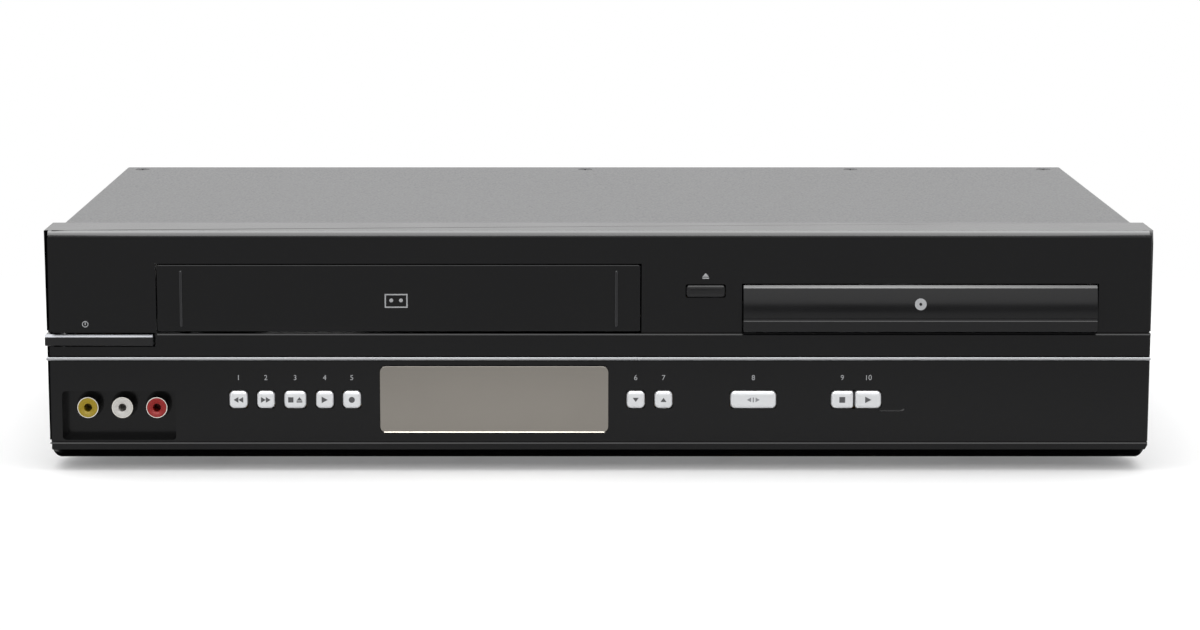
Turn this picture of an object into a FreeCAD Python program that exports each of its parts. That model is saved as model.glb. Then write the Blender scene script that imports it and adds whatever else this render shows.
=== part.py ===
import FreeCAD, Part
import math
import os
import Sketcher

Vector = FreeCAD.Vector
X_AXIS = Vector(1, 0, 0)
Y_AXIS = Vector(0, 1, 0)
Z_AXIS = Vector(0, 0, 1)

# A video cassette recorder and a disc player in one low cabinet. The front looks
# towards -Y, and the origin is under the middle of the cabinet, on the table.
SIZES = {
    # cabinet
    "case_width": 435.0,
    "case_depth": 232.7,
    "side_draft": 0.5,
    "foot_height": 5.4,
    "foot_radius": 9.0,
    "foot_inset_side": 42.0,
    "foot_inset_front": 44.0,
    "foot_inset_rear": 24.0,
    "skirt_drop": 0.4,
    "bezel_height": 90.5,
    "bezel_depth": 26.4,
    "bezel_wall": 2.5,
    "edge_round": 1.5,
    "bottom_corner": 4.0,
    "bottom_round": 3.5,
    "cover_inset": 3.3,
    "cover_drop": 0.8,
    "cover_tuck": 3.0,
    "sheet_steel": 0.8,
    "bend_round": 1.2,
    "pan_thickness": 1.0,
    "flange_height": 15.0,
    "lip_height": 8.0,
    "fit_gap": 0.3,
    "running_gap": 0.06,
    "screw_radius": 1.5,
    "screw_hole": 1.6,
    "screw_head": 3.1,
    "top_screw_inset": 8.7,
    "top_screw_left": 11.5,
    "top_screw_middle": -4.0,
    "top_screw_inner": 117.0,
    "top_screw_right": 12.5,
    # bands of the front, from the bottom up
    "strip_height": 6.3,
    "groove_height": 0.6,
    "groove_depth": 0.8,
    "panel_height": 32.0,
    "trim_height": 2.2,
    "trim_slack": 0.4,
    "trim_proud": 0.9,
    "trim_seat": 1.0,
    "ledge_height": 8.8,
    "seam_gap": 0.8,
    "seam_depth": 1.2,
    # cassette door
    "door_x": -78.5,
    "door_width": 189.8,
    "door_height": 26.4,
    "door_thickness": 2.4,
    "door_setback": 0.2,
    "door_gap": 0.5,
    "door_corner": 1.0,
    "door_edge": 0.5,
    "door_rib_offset": 85.5,
    "door_rib_width": 1.0,
    "door_rib_height": 22.4,
    "hinge_setback": 6.5,
    "hinge_rise": 8.1,
    "hinge_hub": 2.4,
    "hinge_pin": 1.5,
    "door_arm_offset": 88.0,
    "door_arm_width": 3.0,
    "throat_wall": 1.5,
    "throat_floor": 1.7,
    "throat_depth": 40.0,
    "spring_wire": 0.4,
    "spring_radius": 2.2,
    "spring_turns": 3,
    # disc tray front
    "tray_x": 126.35,
    "tray_front_width": 139.1,
    "tray_front_height": 18.3,
    "tray_front_thickness": 3.0,
    "tray_front_proud": 1.0,
    "tray_lip_height": 4.6,
    "tray_lip_step": 0.5,
    "tray_front_corner": 1.2,
    # display window
    "window_inset": 176.4,
    "window_width": 90.0,
    "window_height": 26.4,
    "window_bottom": 3.6,
    "window_corner": 2.0,
    "window_proud": 0.8,
    "window_seat": 1.4,
    "window_border": 2.5,
    "window_bevel": 0.6,
    # keys
    "button_proud": 1.2,
    "key_height": 7.0,
    "key_bottom": 13.2,
    "key_corner": 1.6,
    "key_edge": 0.6,
    "key_gap": 0.25,
    "key_travel": 0.8,
    "key_flange": 0.8,
    "key_overhang": 1.0,
    "key_stem": 1.5,
    "rewind_inset": 75.6,
    "rewind_width": 7.2,
    "forward_inset": 86.4,
    "forward_width": 7.0,
    "stop_eject_inset": 97.95,
    "stop_eject_width": 8.7,
    "play_inset": 109.6,
    "play_width": 7.0,
    "record_inset": 120.3,
    "record_width": 7.2,
    "tracking_down_inset": 232.2,
    "tracking_down_width": 7.2,
    "tracking_up_inset": 243.15,
    "tracking_up_width": 7.1,
    "source_inset": 278.55,
    "source_width": 18.1,
    "disc_stop_inset": 313.6,
    "disc_stop_width": 8.8,
    "disc_play_inset": 323.85,
    "disc_play_width": 10.3,
    "tray_key_x": 42.05,
    "tray_key_width": 15.3,
    "tray_key_height": 4.8,
    "tray_key_rise": 13.7,
    "tray_key_corner": 0.8,
    "standby_side_gap": 1.4,
    "standby_height": 4.6,
    "standby_top_gap": 0.2,
    "standby_bottom_gap": 0.5,
    "standby_proud": 0.6,
    "standby_thickness": 2.6,
    "standby_wrap": 6.0,
    "standby_travel": 1.0,
    "standby_edge": 1.2,
    "standby_stem_inset": 21.5,
    # front sockets
    "recess_inset": 5.9,
    "recess_width": 44.8,
    "recess_bottom": 0.4,
    "recess_height": 19.6,
    "recess_depth": 9.0,
    "jack_inset": 10.0,
    "jack_pitch": 13.6,
    "jack_rise": 13.2,
    "jack_radius": 4.15,
    "jack_bore": 3.65,
    "jack_contact": 1.6,
    "jack_setback": 1.0,
    "jack_hole": 4.35,
    # rear sockets
    "jack_proud": 8.5,
    "rear_jack_inset": 157.5,
    "rear_jack_pitch": 16.0,
    "rear_jack_low": 22.0,
    "rear_jack_rise": 18.0,
    "rear_block_depth": 14.0,
    "rear_block_margin": 8.0,
    "tuner_x": -25.0,
    "tuner_width": 58.0,
    "tuner_depth": 44.0,
    "tuner_height": 19.0,
    "aerial_pitch": 22.0,
    "aerial_radius": 4.7,
    "aerial_z": 20.0,
    "socket_collar": 1.0,
    "gland_inset": 35.5,
    "gland_z": 30.0,
    "gland_radius": 6.0,
    "gland_bore": 3.6,
    "gland_flange": 8.0,
    "gland_length": 12.0,
    # boards and power parts
    "board_thickness": 1.6,
    "board_z": 9.0,
    "board_left_inset": 45.5,
    "board_step_x": 48.0,
    "board_right_inset": 21.5,
    "board_front": 56.0,
    "board_step": 192.0,
    "board_rear": 218.0,
    "front_board_setback": 14.0,
    "front_board_inset": 4.5,
    "front_board_bottom": 9.0,
    "front_board_top": 44.5,
    "switch_size": 6.0,
    "switch_height": 3.4,
    "plunger_radius": 1.7,
    "plunger_height": 0.7,
    "boss_radius": 3.0,
    "display_thickness": 5.0,
    "display_setback": 4.0,
    "transformer_inset": 40.0,
    "transformer_width": 30.0,
    "transformer_depth": 24.0,
    "transformer_height": 30.0,
    "capacitor_radius": 6.0,
    "capacitor_height": 25.0,
    # cassette deck
    "deck_z": 32.0,
    "deck_thickness": 1.2,
    "deck_half": 104.0,
    "deck_front": 44.0,
    "deck_rear": 226.0,
    "leg_size": 7.0,
    "cassette_rear": 155.0,
    "holder_length": 42.0,
    "holder_travel": 70.0,
    "holder_drop": 14.0,
    "holder_inner_half": 94.1,
    "holder_floor": 56.2,
    "holder_room": 25.4,
    "holder_ledge": 12.0,
    "pin_radius": 1.5,
    "pin_slot_half": 1.8,
    "pin_z": 70.0,
    "pin_front_inset": 7.0,
    "pin_rear_inset": 7.0,
    "slide_gap": 0.5,
    "slide_thickness": 1.0,
    "rail_gap": 1.0,
    "rail_thickness": 1.2,
    "rail_top": 86.0,
    "rail_front": 41.0,
    "rail_rear": 160.0,
    "reel_pitch": 92.0,
    "reel_setback": 97.0,
    "reel_flange": 21.0,
    "reel_flange_height": 3.0,
    "reel_hub": 12.0,
    "reel_hub_top": 41.0,
    "reel_spindle": 8.0,
    "reel_spindle_top": 54.6,
    "reel_post": 2.0,
    "drum_setback": 192.0,
    "drum_radius": 31.0,
    "drum_tilt": 5.97,
    "lower_drum_height": 17.0,
    "drum_seat": 3.0,
    "drum_slit": 0.4,
    "upper_drum_height": 20.0,
    "drum_shaft": 3.0,
    "rotor_radius": 20.0,
    "rotor_height": 4.0,
    "capstan_x": 52.0,
    "capstan_setback": 164.0,
    "capstan_radius": 1.5,
    "capstan_top": 64.0,
    "capstan_bush": 5.0,
    "flywheel_radius": 23.0,
    "flywheel_height": 6.0,
    "capstan_pulley": 7.0,
    "idler_pulley": 12.0,
    "pulley_height": 3.0,
    "idler_gear": 9.0,
    "roller_radius": 6.4,
    "roller_nip": 0.15,
    "roller_height": 17.0,
    "roller_z": 42.0,
    "arm_pivot_x": 74.0,
    "arm_pivot_setback": 158.0,
    "arm_swing": 24.0,
    "arm_thickness": 1.5,
    "arm_z": 36.5,
    "cam_x": -66.0,
    "cam_setback": 196.0,
    "cam_module": 0.8,
    "cam_teeth": 48,
    "pinion_teeth": 14,
    "cam_z": 49.0,
    "cam_height": 4.0,
    "motor_radius": 12.0,
    "belt_width": 1.2,
    # disc loader
    "loader_half": 73.5,
    "loader_front": 8.0,
    "loader_rear": 187.0,
    "loader_bottom": 52.0,
    "loader_leg": 6.0,
    "tray_half": 63.9,
    "tray_runner": 3.1,
    "tray_setback": 2.0,
    "tray_rear": 181.0,
    "tray_floor_z": 62.4,
    "tray_floor": 2.2,
    "tray_rim": 6.2,
    "tray_travel": 140.0,
    "disc_setback": 71.0,
    "disc_recess": 60.5,
    "small_disc_recess": 40.5,
    "small_recess_depth": 0.6,
    "tray_hole": 18.0,
    "tray_slot_half": 17.0,
    "tray_slot_rear": 150.0,
    "rack_line": 60.0,
    "rack_height": 3.0,
    "rack_front": 15.0,
    "tray_module": 1.0,
    "tray_gear_teeth": 20,
    "tray_gear_setback": 29.0,
    "tray_pulley_radius": 4.0,
    "tray_wheel_radius": 12.0,
    "tray_pulley_offset": 32.0,
    "bridge_half": 17.0,
    "bridge_z": 71.7,
    "bridge_thickness": 2.4,
    "clamper_hole": 11.0,
    "clamper_radius": 13.0,
    "clamper_plate": 1.4,
    "traverse_half": 46.0,
    "traverse_front": 46.0,
    "traverse_rear": 166.0,
    "traverse_hinge_setback": 162.0,
    "traverse_thickness": 6.0,
    "traverse_lift": 7.0,
    "seat_z": 66.8,
    "turntable_radius": 14.5,
    "turntable_thickness": 3.0,
    "turntable_boss": 7.3,
    "turntable_boss_height": 2.0,
    "spindle_motor_radius": 11.0,
    "spindle_radius": 1.5,
    "pickup_inner": 24.0,
    "pickup_travel": 32.0,
    "pickup_half": 27.5,
    "pickup_length": 30.0,
    "guide_rod": 1.5,
    "guide_offset": 22.0,
    "lens_radius": 3.5,
    "sled_module": 0.6,
    "sled_teeth": 20,
    "sled_setback": 112.0,
    "sled_rack_line": 30.5,
}

doc = FreeCAD.newDocument("cassette_and_disc_player")
sheet = doc.addObject("Spreadsheet::Sheet", "Sizes")
for row, (alias, amount) in enumerate(SIZES.items(), start=1):
    sheet.set(f"A{row}", alias)
    sheet.set(f"B{row}", str(amount))
    sheet.setAlias(f"B{row}", alias)
doc.recompute()


def text_of(size):
    """The expression text of a size, or of a plain number."""
    if isinstance(size, Size):
        return size.text
    plain = f"{float(size):.6f}".rstrip("0").rstrip(".")
    return f"({plain})" if plain.startswith("-") else plain


class Size:
    """A size that carries both its value and the sheet expression that gives it."""

    def __init__(self, value, text):
        self.value = float(value)
        self.text = text

    def __float__(self):
        return self.value

    def __add__(self, other):
        return Size(self.value + float(other), f"({self.text} + {text_of(other)})")

    def __radd__(self, other):
        return Size(float(other) + self.value, f"({text_of(other)} + {self.text})")

    def __sub__(self, other):
        return Size(self.value - float(other), f"({self.text} - {text_of(other)})")

    def __rsub__(self, other):
        return Size(float(other) - self.value, f"({text_of(other)} - {self.text})")

    def __mul__(self, other):
        return Size(self.value * float(other), f"({self.text} * {text_of(other)})")

    def __rmul__(self, other):
        return Size(float(other) * self.value, f"({text_of(other)} * {self.text})")

    def __truediv__(self, other):
        return Size(self.value / float(other), f"({self.text} / {text_of(other)})")

    def __neg__(self):
        return Size(-self.value, f"(0 - {self.text})")


class SheetSizes:
    """Looks a size up by its alias, as an attribute or as an item."""

    def __getattr__(self, alias):
        return Size(sheet.get(alias), "Sizes." + alias)

    def __getitem__(self, alias):
        return Size(sheet.get(alias), "Sizes." + alias)


S = SheetSizes()
NODES = {}


def bind(item, field, size):
    """Sets a property and, where the size comes from the sheet, ties it to the sheet."""
    if "." not in field:
        setattr(item, field, float(size))
    if isinstance(size, Size):
        item.setExpression(field, size.text)


def node(label, item):
    """Gives a finished sub-part the name that its file will have."""
    item.Label = label
    NODES[label] = item
    return item


def place(item, x, y, z, rotation=None):
    item.Placement = FreeCAD.Placement(
        Vector(float(x), float(y), float(z)), rotation or FreeCAD.Rotation()
    )
    bind(item, "Placement.Base.x", x)
    bind(item, "Placement.Base.y", y)
    bind(item, "Placement.Base.z", z)


def box(x_span, y_span, z_span):
    """A block between two values on each axis."""
    block = doc.addObject("Part::Box", "block")
    bind(block, "Length", x_span[1] - x_span[0])
    bind(block, "Width", y_span[1] - y_span[0])
    bind(block, "Height", z_span[1] - z_span[0])
    place(block, x_span[0], y_span[0], z_span[0])
    return block


ROD_TURNS = {
    "x": FreeCAD.Rotation(Y_AXIS, 90),
    "y": FreeCAD.Rotation(X_AXIS, -90),
    "z": FreeCAD.Rotation(),
}


def rod(axis, x, y, z, radius, length):
    """A round bar that starts at the given point and runs along +axis."""
    bar = doc.addObject("Part::Cylinder", "rod")
    bind(bar, "Radius", radius)
    bind(bar, "Height", length)
    place(bar, x, y, z, ROD_TURNS[axis])
    return bar


def cone(x, y, z, low_radius, high_radius, length):
    """An upright cone frustum."""
    taper = doc.addObject("Part::Cone", "taper")
    bind(taper, "Radius1", low_radius)
    bind(taper, "Radius2", high_radius)
    bind(taper, "Height", length)
    place(taper, x, y, z)
    return taper


def fuse(*items):
    joined = doc.addObject("Part::MultiFuse", "joined")
    joined.Shapes = list(items)
    joined.Refine = True
    return joined


def cut(base_item, *tools):
    """The base with each tool taken away."""
    trimmed = doc.addObject("Part::Cut", "trimmed")
    trimmed.Base = base_item
    trimmed.Tool = tools[0] if len(tools) == 1 else fuse(*tools)
    return trimmed


def group(*items):
    """Several separate solids that make one sub-part."""
    several = doc.addObject("Part::Compound", "several")
    several.Links = list(items)
    return several


def shaped(shape):
    """A sub-part whose outline comes from a formula."""
    item = doc.addObject("Part::Feature", "shaped")
    item.Shape = shape
    return item


class Outline:
    """Collects the curves of one sketch, their constraints and the ties to the sheet."""

    def __init__(self):
        self.curves = []
        self.limits = []
        self.ties = []

    def add(self, curve):
        self.curves.append(curve)
        return len(self.curves) - 1

    def limit(self, *what):
        self.limits.append(Sketcher.Constraint(*what))

    def tie(self, size, *what):
        if isinstance(size, Size):
            self.ties.append((len(self.limits), size.text))
        self.limit(*what, float(size))

    def hold(self, curve, point, spot):
        """Fixes a point of a curve at its distances from the origin."""
        self.tie(spot[0], "DistanceX", -1, 1, curve, point)
        self.tie(spot[1], "DistanceY", -1, 1, curve, point)

    def close(self, sketch):
        sketch.addGeometry(self.curves, False)
        sketch.addConstraint(self.limits)
        for index, text in self.ties:
            sketch.setExpression(f"Constraints[{index}]", text)


def flat(spot):
    return Vector(float(spot[0]), float(spot[1]), 0)


def polygon(*points):
    """A closed outline of straight lines through fixed corners."""

    def draw(outline):
        first = len(outline.curves)
        for index, spot in enumerate(points):
            following = (index + 1) % len(points)
            outline.add(Part.LineSegment(flat(spot), flat(points[following])))
            outline.limit("Coincident", first + index, 2, first + following, 1)
            outline.hold(first + index, 1, spot)

    return draw


def rectangle(left, right, low, high):
    return polygon((left, low), (right, low), (right, high), (left, high))


def circle(u, v, radius):
    def draw(outline):
        index = outline.add(Part.Circle(flat((u, v)), Z_AXIS, float(radius)))
        outline.hold(index, 3, (u, v))
        outline.tie(radius, "Radius", index)

    return draw


def rounded(left, right, low, high, radius):
    """A rectangle with round corners."""
    inner_left, inner_right = left + radius, right - radius
    inner_low, inner_high = low + radius, high - radius
    sides = [
        ((inner_left, low), (inner_right, low)),
        ((right, inner_low), (right, inner_high)),
        ((inner_right, high), (inner_left, high)),
        ((left, inner_high), (left, inner_low)),
    ]
    centres = [
        (inner_right, inner_low),
        (inner_right, inner_high),
        (inner_left, inner_high),
        (inner_left, inner_low),
    ]

    def draw(outline):
        first = len(outline.curves)
        for turn, (side, centre) in enumerate(zip(sides, centres)):
            line = outline.add(Part.LineSegment(flat(side[0]), flat(side[1])))
            whole = Part.Circle(flat(centre), Z_AXIS, float(radius))
            start = math.radians(90 * turn - 90)
            arc = outline.add(Part.ArcOfCircle(whole, start, start + math.pi / 2))
            outline.limit("Tangent", line, 2, arc, 1)
            outline.limit("Tangent", arc, 2, first + (2 * turn + 2) % 8, 1)
            outline.hold(arc, 3, centre)
            outline.tie(radius, "Radius", arc)

    return draw


def nick(u, v, reach, turn_u, turn_v):
    """The sliver between a square corner and a round one."""
    along = (u + reach * turn_u, v)
    across = (u, v + reach * turn_v)

    def draw(outline):
        bulge = float(reach) * (1 - math.sqrt(0.5))
        middle = flat((u, v)) + Vector(bulge * turn_u, bulge * turn_v, 0)
        curve = Part.Arc(flat(along), middle, flat(across))
        start, end = (1, 2) if (curve.StartPoint - flat(along)).Length < 0.001 else (2, 1)
        first = outline.add(Part.LineSegment(flat((u, v)), flat(along)))
        outline.add(curve)
        outline.add(Part.LineSegment(flat(across), flat((u, v))))
        outline.limit("Coincident", first + 2, 2, first, 1)
        outline.limit("Coincident", first, 2, first + 1, start)
        outline.limit("Coincident", first + 1, end, first + 2, 1)
        outline.hold(first, 1, (u, v))
        outline.hold(first, 2, along)
        outline.hold(first + 2, 1, across)
        outline.tie(along[0], "DistanceX", -1, 1, first + 1, 3)

    return draw


def on(**where):
    """Picks the edges that lie whole at the given coordinates."""

    def choose(edge):
        limits = edge.BoundBox
        spans = {
            "x": (limits.XMin, limits.XMax),
            "y": (limits.YMin, limits.YMax),
            "z": (limits.ZMin, limits.ZMax),
        }
        return all(
            abs(low - float(value)) < 0.02 and abs(high - float(value)) < 0.02
            for (low, high), value in ((spans[axis], value) for axis, value in where.items())
        )

    return choose


def any_of(*choosers):
    return lambda edge: any(choose(edge) for choose in choosers)


VIEWS = {"front": ("XZ_Plane", -1), "top": ("XY_Plane", 1), "side": ("YZ_Plane", 1)}


class Piece:
    """A moulded or pressed piece, built feature by feature in its own body.

    A front sketch is drawn in X and Z, a top sketch in X and Y, a side sketch in Y
    and Z, each at a given place along the third axis. Ahead means along that axis.
    """

    def __init__(self, label=None, refine=True):
        self.body = doc.addObject("PartDesign::Body", label or "body")
        self.refine = refine
        self.volume = 0.0
        if label:
            node(label, self.body)

    def sketch(self, view, at, loops):
        role, sign = VIEWS[view]
        plane = [part for part in self.body.Origin.OriginFeatures if part.Role == role][0]
        sketch = self.body.newObject("Sketcher::SketchObject", "outline")
        sketch.AttachmentSupport = [(plane, "")]
        sketch.MapMode = "FlatFace"
        offset = at * sign
        sketch.AttachmentOffset = FreeCAD.Placement(
            Vector(0, 0, float(offset)), FreeCAD.Rotation()
        )
        bind(sketch, "AttachmentOffset.Base.z", offset)
        outline = Outline()
        for loop in loops:
            loop(outline)
        outline.close(sketch)
        return sketch

    def settle(self, feature, sign):
        """Recomputes, and checks that the piece grew or shrank as it should."""
        before = self.volume
        doc.recompute()
        self.volume = self.body.Shape.Volume
        if (self.volume - before) * sign <= 0:
            raise RuntimeError(f"{self.body.Label}: {feature.Name} changed nothing")

    def pad(self, view, at, loops, length, ahead=True):
        feature = self.body.newObject("PartDesign::Pad", "pad")
        feature.Profile = self.sketch(view, at, loops)
        bind(feature, "Length", length)
        feature.Refine = self.refine
        feature.Reversed = ahead if view == "front" else not ahead
        self.settle(feature, 1)

    def cut(self, view, at, loops, length, ahead=True):
        feature = self.body.newObject("PartDesign::Pocket", "pocket")
        feature.Profile = self.sketch(view, at, loops)
        bind(feature, "Length", length)
        feature.Refine = self.refine
        feature.Reversed = not ahead if view == "front" else ahead
        self.settle(feature, -1)

    def repeat(self, axis, span, count):
        """Repeats the newest feature along an axis of the body."""
        original = self.body.Tip
        line = [part for part in self.body.Origin.OriginFeatures if part.Role == axis][0]
        feature = self.body.newObject("PartDesign::LinearPattern", "pattern")
        feature.Originals = [original]
        feature.Direction = (line, [""])
        feature.Occurrences = count
        bind(feature, "Length", span)
        self.body.Tip = feature
        doc.recompute()
        self.volume = self.body.Shape.Volume

    def _dress(self, kind, field, size, choose):
        base_feature = self.body.Tip
        edges = [
            f"Edge{index}"
            for index, edge in enumerate(base_feature.Shape.Edges, start=1)
            if choose(edge)
        ]
        feature = self.body.newObject(kind, "dressing")
        feature.Base = (base_feature, edges)
        bind(feature, field, size)
        doc.recompute()
        self.volume = self.body.Shape.Volume

    def round(self, radius, choose):
        self._dress("PartDesign::Fillet", "Radius", radius, choose)

    def bevel(self, size, choose):
        self._dress("PartDesign::Chamfer", "Size", size, choose)


# Levels and places that several pieces share. Depth is counted back from the face.
GAP = S.fit_gap
HALF = S.case_width / 2
FACE = S.button_proud - (S.case_depth + S.jack_proud + S.button_proud) / 2
SKIRT = S.foot_height - S.skirt_drop
TOP = SKIRT + S.bezel_height
GROOVE = SKIRT + S.strip_height
PANEL = GROOVE + S.groove_height
TRIM = PANEL + S.panel_height
LEDGE = TRIM + S.trim_height
SEAM = LEDGE + S.ledge_height
DOOR = SEAM + S.seam_gap
COVER_HALF = HALF - S.cover_inset
COVER_TOP = TOP - S.cover_drop
INNER_HALF = COVER_HALF - S.sheet_steel
PAN_TOP = S.foot_height + S.pan_thickness
KEY_ROW = PANEL + S.key_bottom
JACK_ROW = PANEL + S.jack_rise


def back(depth):
    """The Y of a place that lies this deep behind the face."""
    return FACE + depth


def left_in(inset):
    """The X of a place that lies this far in from the left side."""
    return inset - HALF


def right_in(inset):
    """The X of a place that lies this far in from the right side."""
    return HALF - inset


# Cover: one folded steel sheet over the top and both sides, with a lip at the rear
cover_start = back(S.bezel_depth - S.cover_tuck)
lip_front = back(S.case_depth - S.sheet_steel)
screw_row = back(S.case_depth - S.top_screw_inset)
top_screws = [left_in(S.top_screw_left), S.top_screw_middle, S.top_screw_inner,
              right_in(S.top_screw_right)]
side_screw_z = PAN_TOP + S.flange_height * 0.4
side_screws = [back(60), back(S.case_depth - 32.7)]

cover = Piece("top_cover")
cover_low = S.foot_height + GAP
cover.pad("front", cover_start, [rectangle(-COVER_HALF, COVER_HALF, cover_low, COVER_TOP)],
          S.case_depth - S.bezel_depth + S.cover_tuck)
cover.round(S.bend_round, any_of(on(x=-COVER_HALF, z=COVER_TOP), on(x=COVER_HALF, z=COVER_TOP)))
cover.cut("front", cover_start - 1,
          [rectangle(-INNER_HALF, INNER_HALF, cover_low - 1, COVER_TOP - S.sheet_steel)],
          S.case_depth - S.sheet_steel - S.bezel_depth + S.cover_tuck + 1)
lip_half = COVER_HALF - S.lip_height
cover.cut("front", lip_front - 1,
          [rectangle(-lip_half, lip_half, cover_low - 1, COVER_TOP - S.lip_height)],
          S.sheet_steel + 2)
cover.cut("top", COVER_TOP + 1,
          [circle(x, screw_row, S.screw_head + 0.1) for x in top_screws],
          S.sheet_steel + 1.5, ahead=False)
cover.cut("side", -HALF, [circle(y, side_screw_z, S.screw_hole) for y in side_screws],
          S.case_width)
cover.cut("side", -HALF, [rounded(back(130), back(133), 50.0, 74.0, 1.4)], S.case_width)
cover.repeat("Y_Axis", 63, 10)


# Bezel: the moulded front, a shell that is open to the rear
door_left = S.door_x - S.door_width / 2
door_right = S.door_x + S.door_width / 2
door_top = DOOR + S.door_height
tray_left = S.tray_x - S.tray_front_width / 2
tray_right = S.tray_x + S.tray_front_width / 2
tray_low = DOOR + 0.2
tray_top = tray_low + S.tray_front_height
standby_top = SEAM - S.standby_top_gap
standby_low = standby_top - S.standby_height
standby_right = door_left - S.standby_side_gap
standby_stem_x = left_in(S.standby_stem_inset)
window_low = PANEL + S.window_bottom
window_top = window_low + S.window_height
window_x = left_in(S.window_inset)
window_left = window_x - S.window_width / 2
window_right = window_x + S.window_width / 2
recess_low = PANEL + S.recess_bottom
recess_top = recess_low + S.recess_height
recess_left = left_in(S.recess_inset)
recess_right = recess_left + S.recess_width
tray_key_low = DOOR + S.tray_key_rise

KEYS = [
    ("rewind", KEY_ROW, S.key_height, S.key_corner),
    ("forward", KEY_ROW, S.key_height, S.key_corner),
    ("stop_eject", KEY_ROW, S.key_height, S.key_corner),
    ("play", KEY_ROW, S.key_height, S.key_corner),
    ("record", KEY_ROW, S.key_height, S.key_corner),
    ("tracking_down", KEY_ROW, S.key_height, S.key_corner),
    ("tracking_up", KEY_ROW, S.key_height, S.key_corner),
    ("source", KEY_ROW, S.key_height, S.key_corner),
    ("disc_stop", KEY_ROW, S.key_height, S.key_corner),
    ("disc_play", KEY_ROW, S.key_height, S.key_corner),
    ("tray_key", tray_key_low, S.tray_key_height, S.tray_key_corner),
]


def key_x(name):
    """The X of a key's middle. The tray key stands between the door and the tray."""
    return S.tray_key_x if name == "tray_key" else left_in(S[name + "_inset"])


WALL = S.bezel_wall
bezel = Piece("front_bezel", refine=False)
low_half = HALF - S.side_draft
bezel.pad("front", FACE,
          [polygon((-low_half, SKIRT), (low_half, SKIRT), (HALF, TOP), (-HALF, TOP))],
          S.bezel_depth)
bezel.round(S.bottom_corner, any_of(on(x=-low_half, z=SKIRT), on(x=low_half, z=SKIRT)))
bezel.cut("side", -HALF - 1,
          [nick(FACE, SKIRT, S.bottom_round, 1, 1), nick(FACE, TOP, S.edge_round, 1, -1)],
          S.case_width + 2)
bezel.cut("top", SKIRT - 1,
          [nick(-HALF, FACE, S.edge_round, 1, 1), nick(HALF, FACE, S.edge_round, -1, 1)],
          S.bezel_height + 2)
bezel.cut("front", back(WALL),
          [rectangle(WALL - HALF, HALF - WALL, SKIRT + WALL, TOP - WALL)],
          S.bezel_depth)
# the cover tucks in under the top, the pan under the bottom wall
bezel.cut("front", back(S.bezel_depth - S.cover_tuck - 1),
          [rectangle(-COVER_HALF - GAP, COVER_HALF + GAP, TOP - WALL - 1, COVER_TOP + 0.2),
           rectangle(-COVER_HALF - GAP, GAP - INNER_HALF, SKIRT - 1, SKIRT + WALL + 1),
           rectangle(INNER_HALF - GAP, COVER_HALF + GAP, SKIRT - 1, SKIRT + WALL + 1)],
          S.cover_tuck + 2)
bezel.cut("front", back(S.bezel_depth - 10),
          [rectangle(-HALF - 1, HALF + 1, SKIRT - 1, PAN_TOP + 0.2)], 11)
# seam line and lower groove, carried round both sides
for low, high, depth in (
    (SEAM, DOOR, S.seam_depth), (GROOVE, PANEL, S.groove_depth), (TRIM, LEDGE, S.trim_seat)
):
    bezel.cut("front", FACE - 1, [rectangle(-HALF - 1, HALF + 1, low, high)], depth + 1)
for low, high in ((SEAM, DOOR), (GROOVE, PANEL)):
    bezel.cut("front", FACE - 1,
              [rectangle(-HALF - 1, 0.6 - HALF, low, high),
               rectangle(HALF - 0.6, HALF + 1, low, high)], S.bezel_depth + 2)
# openings for the cassette, for the disc tray and for the light of the display
border = S.window_border
bezel.cut("front", FACE - 1,
          [rectangle(door_left - S.door_gap, door_right + S.door_gap, SEAM,
                     door_top + S.door_gap),
           rectangle(tray_left - S.door_gap, tray_right + S.door_gap, SEAM,
                     tray_top + S.door_gap),
           rounded(window_left + border, window_right - border, window_low + border,
                   window_top - border, S.window_corner)], WALL + 2)
bezel.cut("front", FACE - 1,
          [rounded(window_left - 0.2, window_right + 0.2, window_low - 0.2,
                   window_top + 0.2, S.window_corner)], S.window_seat + 1)
# recess of the front sockets
cup = 2.0
bezel.pad("front", back(WALL),
          [rectangle(recess_left - cup, recess_right + cup, recess_low - cup,
                     recess_top + cup)], S.recess_depth + cup - WALL)
bezel.cut("front", FACE - 1,
          [rounded(recess_left, recess_right, recess_low, recess_top, 1.5)],
          S.recess_depth + 1)
jack_x = [recess_left + S.jack_inset + S.jack_pitch * index for index in range(3)]
bezel.cut("front", back(S.recess_depth - 1),
          [circle(x, JACK_ROW, S.jack_hole) for x in jack_x], cup + 2)
# openings for the keys; the two disc keys share one
openings = []
for name, low, height, corner in KEYS:
    left = key_x(name) - S[name + "_width"] / 2 - S.key_gap
    last = "disc_play" if name == "disc_stop" else name
    right = key_x(last) + S[last + "_width"] / 2 + S.key_gap
    if name != "disc_play":
        openings.append(rounded(left, right, low - S.key_gap, low + height + S.key_gap, corner))
for start in range(0, len(openings), 5):
    bezel.cut("front", FACE - 1, openings[start:start + 5], WALL + 2)
# corner cut-out for the standby key, open into the seam above it
bezel.cut("front", FACE - 1,
          [rectangle(-HALF - 1, standby_right + S.standby_bottom_gap,
                     standby_low - S.standby_bottom_gap, SEAM + 0.05)], WALL + 2)
bezel.cut("front", FACE - 1,
          [rectangle(-HALF - 1, WALL + 0.2 - HALF, standby_low - S.standby_bottom_gap,
                     SEAM + 0.05)], S.standby_wrap + S.standby_travel + 1.4)
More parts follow.
